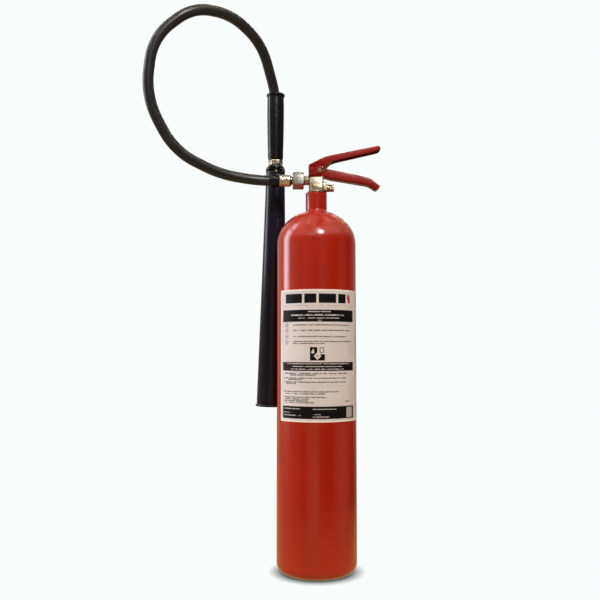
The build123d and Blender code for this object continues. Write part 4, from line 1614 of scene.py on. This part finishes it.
@dataclass
class Studio:
    """A plain pale backdrop for the camera, and a dim hall that the object mirrors."""

    camera_place: Point3 = (-28.3, -1318.0, 371.0)
    camera_pitch: float = 3.8
    lens: float = 45.9
    paper: Color = (0.947, 0.982, 0.973)
    floor_reach: float = 0.75
    fill: Softbox = Softbox(
        "front_fill", (0.5, -2.2, 2.3), (0.0, 0.0, 0.4), (0.5, 0.5), 46.0, (1.0, 0.96, 0.90),
    )
    lamp_glow: float = 44.0
    window_glow: float = 6.8
    window_jambs: tuple[Point2, Point2] = ((112.0, 105.0), (94.0, 84.0))
    walls: tuple[tuple[float, float], ...] = (
        (-180, 0.50), (-140, 0.50), (-90, 0.40), (-66, 0.38), (-50, 0.22), (-36, 0.26), (-10, 0.16),
        (0, 0.10), (14, 0.22), (26, 0.18), (38, 0.06), (58, 0.03), (72, 0.16), (86, 0.16), (96, 0.03),
        (112, 0.05), (140, 0.30), (180, 0.50),
    )
    low_walls: tuple[tuple[float, float], ...] = (
        (-180, 0.45), (-120, 0.36), (-84, 0.34), (-64, 0.26), (-44, 0.08), (-34, 0.08), (-26, 0.34),
        (0, 0.54), (6, 0.18), (18, 0.09), (36, 0.04), (46, 0.08), (54, 0.24), (74, 0.38), (94, 0.26),
        (110, 0.07), (130, 0.10), (180, 0.45),
    )

    def build(self) -> None:
        """Make the camera, the floor, the room and the lights."""
        self._camera()
        self._floor()
        self._world()
        self.fill.build()

    def _camera(self) -> None:
        """Set up the camera."""
        data = bpy.data.cameras.new("camera")
        data.lens = self.lens
        data.sensor_width = 36.0
        data.clip_start = 0.01
        camera = bpy.data.objects.new("camera", data)
        camera.location = Vector(self.camera_place) * MM
        camera.rotation_euler = Euler((math.radians(90.0 + self.camera_pitch), 0.0, 0.0))
        bpy.context.scene.collection.objects.link(camera)
        bpy.context.scene.camera = camera
        bpy.context.scene.view_settings.view_transform = "Standard"

    def _floor(self) -> None:
        """Lay a round floor: a backdrop with a painted soft contact shadow for the camera, and for the rest a
        warm glow that stands in for lit floor boards.
        """
        work = bmesh.new()
        bmesh.ops.create_circle(work, cap_ends=True, segments=64, radius=self.floor_reach)
        mesh = bpy.data.meshes.new("floor")
        work.to_mesh(mesh)
        work.free()
        floor = bpy.data.objects.new("floor", mesh)
        bpy.context.scene.collection.objects.link(floor)
        made = bpy.data.materials.new("floor_paper")
        made.use_nodes = True
        graph = Graph(made.node_tree)
        # Painted shadow: ambient occlusion darkens the emitted paper colour near the extinguisher's foot.
        open_sky = graph.node("ShaderNodeAmbientOcclusion", {"samples": 12}, {"Distance": 0.020}, "AO")
        depth = open_sky.ramp(0.10, 0.98)
        shade = graph.mix(depth.math("POWER", 1.3), (0.07, 0.08, 0.08), self.paper)
        seen_floor = graph.node("ShaderNodeEmission", {}, {"Color": shade})
        # A painted glow, not a lamp: for other rays the floor emits warm light that fades out with distance,
        # standing in for lit floor boards.
        where = graph.node("ShaderNodeTexCoord", output="Object")
        far = graph.node("ShaderNodeVectorMath", {"operation": "LENGTH"}, {0: where}, "Value")
        floor_glow = graph.node("ShaderNodeEmission", {}, {"Color": (1.0, 0.70, 0.30, 1.0), "Strength": 0.56})
        hall = graph.node("ShaderNodeBsdfTransparent")
        fading = graph.node("ShaderNodeMixShader", {}, {0: far.ramp(0.10, 0.68), 1: floor_glow, 2: hall})
        seen = graph.node("ShaderNodeLightPath", output="Is Camera Ray")
        both = graph.node("ShaderNodeMixShader", {}, {0: seen, 1: fading, 2: seen_floor})
        graph.node("ShaderNodeOutputMaterial", {}, {"Surface": both})
        mesh.materials.append(made)

    def _world(self) -> None:
        """Give the room: a plain backdrop for the camera, and walls, a window and lamps for the rest."""
        world = bpy.data.worlds.new("hall")
        bpy.context.scene.world = world
        world.use_nodes = True
        graph = Graph(world.node_tree)
        ray = graph.node("ShaderNodeTexCoord", output="Generated")
        x, y, z = (graph.node("ShaderNodeSeparateXYZ", {}, {0: ray}, axis) for axis in "XYZ")
        turn = x.math("ARCTAN2", y * -1.0) / math.tau + 0.5
        upper = self._wall(graph, turn, self.walls)
        lower = self._wall(graph, turn, self.low_walls)
        walls = graph.mix(z.ramp(-0.13, 0.0), lower, upper)
        near, far = ([0.5 - angle / 360 for angle in jamb] for jamb in self.window_jambs)
        side = turn.ramp(*near) * (1.0 - turn.ramp(*far))
        window = side * z.ramp(-0.07, -0.02) * (z < 0.8)
        ceiling = graph.vector(x / (z + 0.02), y / (z + 0.02))
        spread = {"Vector": ceiling, "Scale": 6.5}
        cells = graph.node("ShaderNodeTexVoronoi", {"feature": "F1"}, spread, "Distance")
        lamps = (1.0 - cells.ramp(0.13, 0.17)) * z.ramp(0.34, 0.44)
        strength = 1.0 + window * self.window_glow * 2.0 + lamps * self.lamp_glow * 2.0
        warm = graph.mix(z.ramp(-0.12, 0.02), (1.0, 0.74, 0.48), (1.0, 0.88, 0.78))
        glow = graph.node("ShaderNodeMix", {"data_type": "RGBA", "blend_type": "MULTIPLY"},
                          {0: 1.0, 6: walls, 7: warm}, 2)
        lit = graph.mix(window, (1.0, 0.85, 0.60), (0.86, 0.93, 1.06))
        light = graph.mix(window | lamps, glow, lit)
        dim = graph.node("ShaderNodeBackground", {}, {"Color": light, "Strength": strength * 0.5})
        plain = graph.node("ShaderNodeBackground", {}, {"Color": (*self.paper, 1.0), "Strength": 1.0})
        seen = graph.node("ShaderNodeLightPath", output="Is Camera Ray")
        shown = graph.node("ShaderNodeMixShader", {}, {0: seen, 1: dim, 2: plain})
        graph.node("ShaderNodeOutputWorld", {}, {"Surface": shown})

    @staticmethod
    def _wall(graph: Graph, turn: Wire, stops: tuple[tuple[float, float], ...]) -> Wire:
        """Return the walls' brightness round the room, from stops in degrees from the front.

        Args:
            graph: The world's graph.
            turn: The direction round the room, from 0 to 1.
            stops: Pairs of an angle in degrees and a brightness.

        Returns:
            The brightness, as a colour.
        """
        ramp = [(0.5 + angle / 360.0, (2.0 * glow,) * 3) for angle, glow in stops]
        return graph.node("ShaderNodeValToRGB", {"stops": ramp}, {0: turn}, "Color")


def main() -> None:
    """Build the extinguisher and the studio round it."""
    logging.basicConfig(level=logging.INFO, format="%(name)s: %(message)s")
    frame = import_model()
    shop = Workshop(frame)
    Studio().build()
    Hose().build(shop)
    GasCylinder().build(shop)
    Valve().build(shop)
    Handles().build(shop)
    Coupling().build(shop)
    DischargeHorn().build(shop)
    LOG.info("%d pieces made", shop.count)


if __name__ == "__main__":
    main()
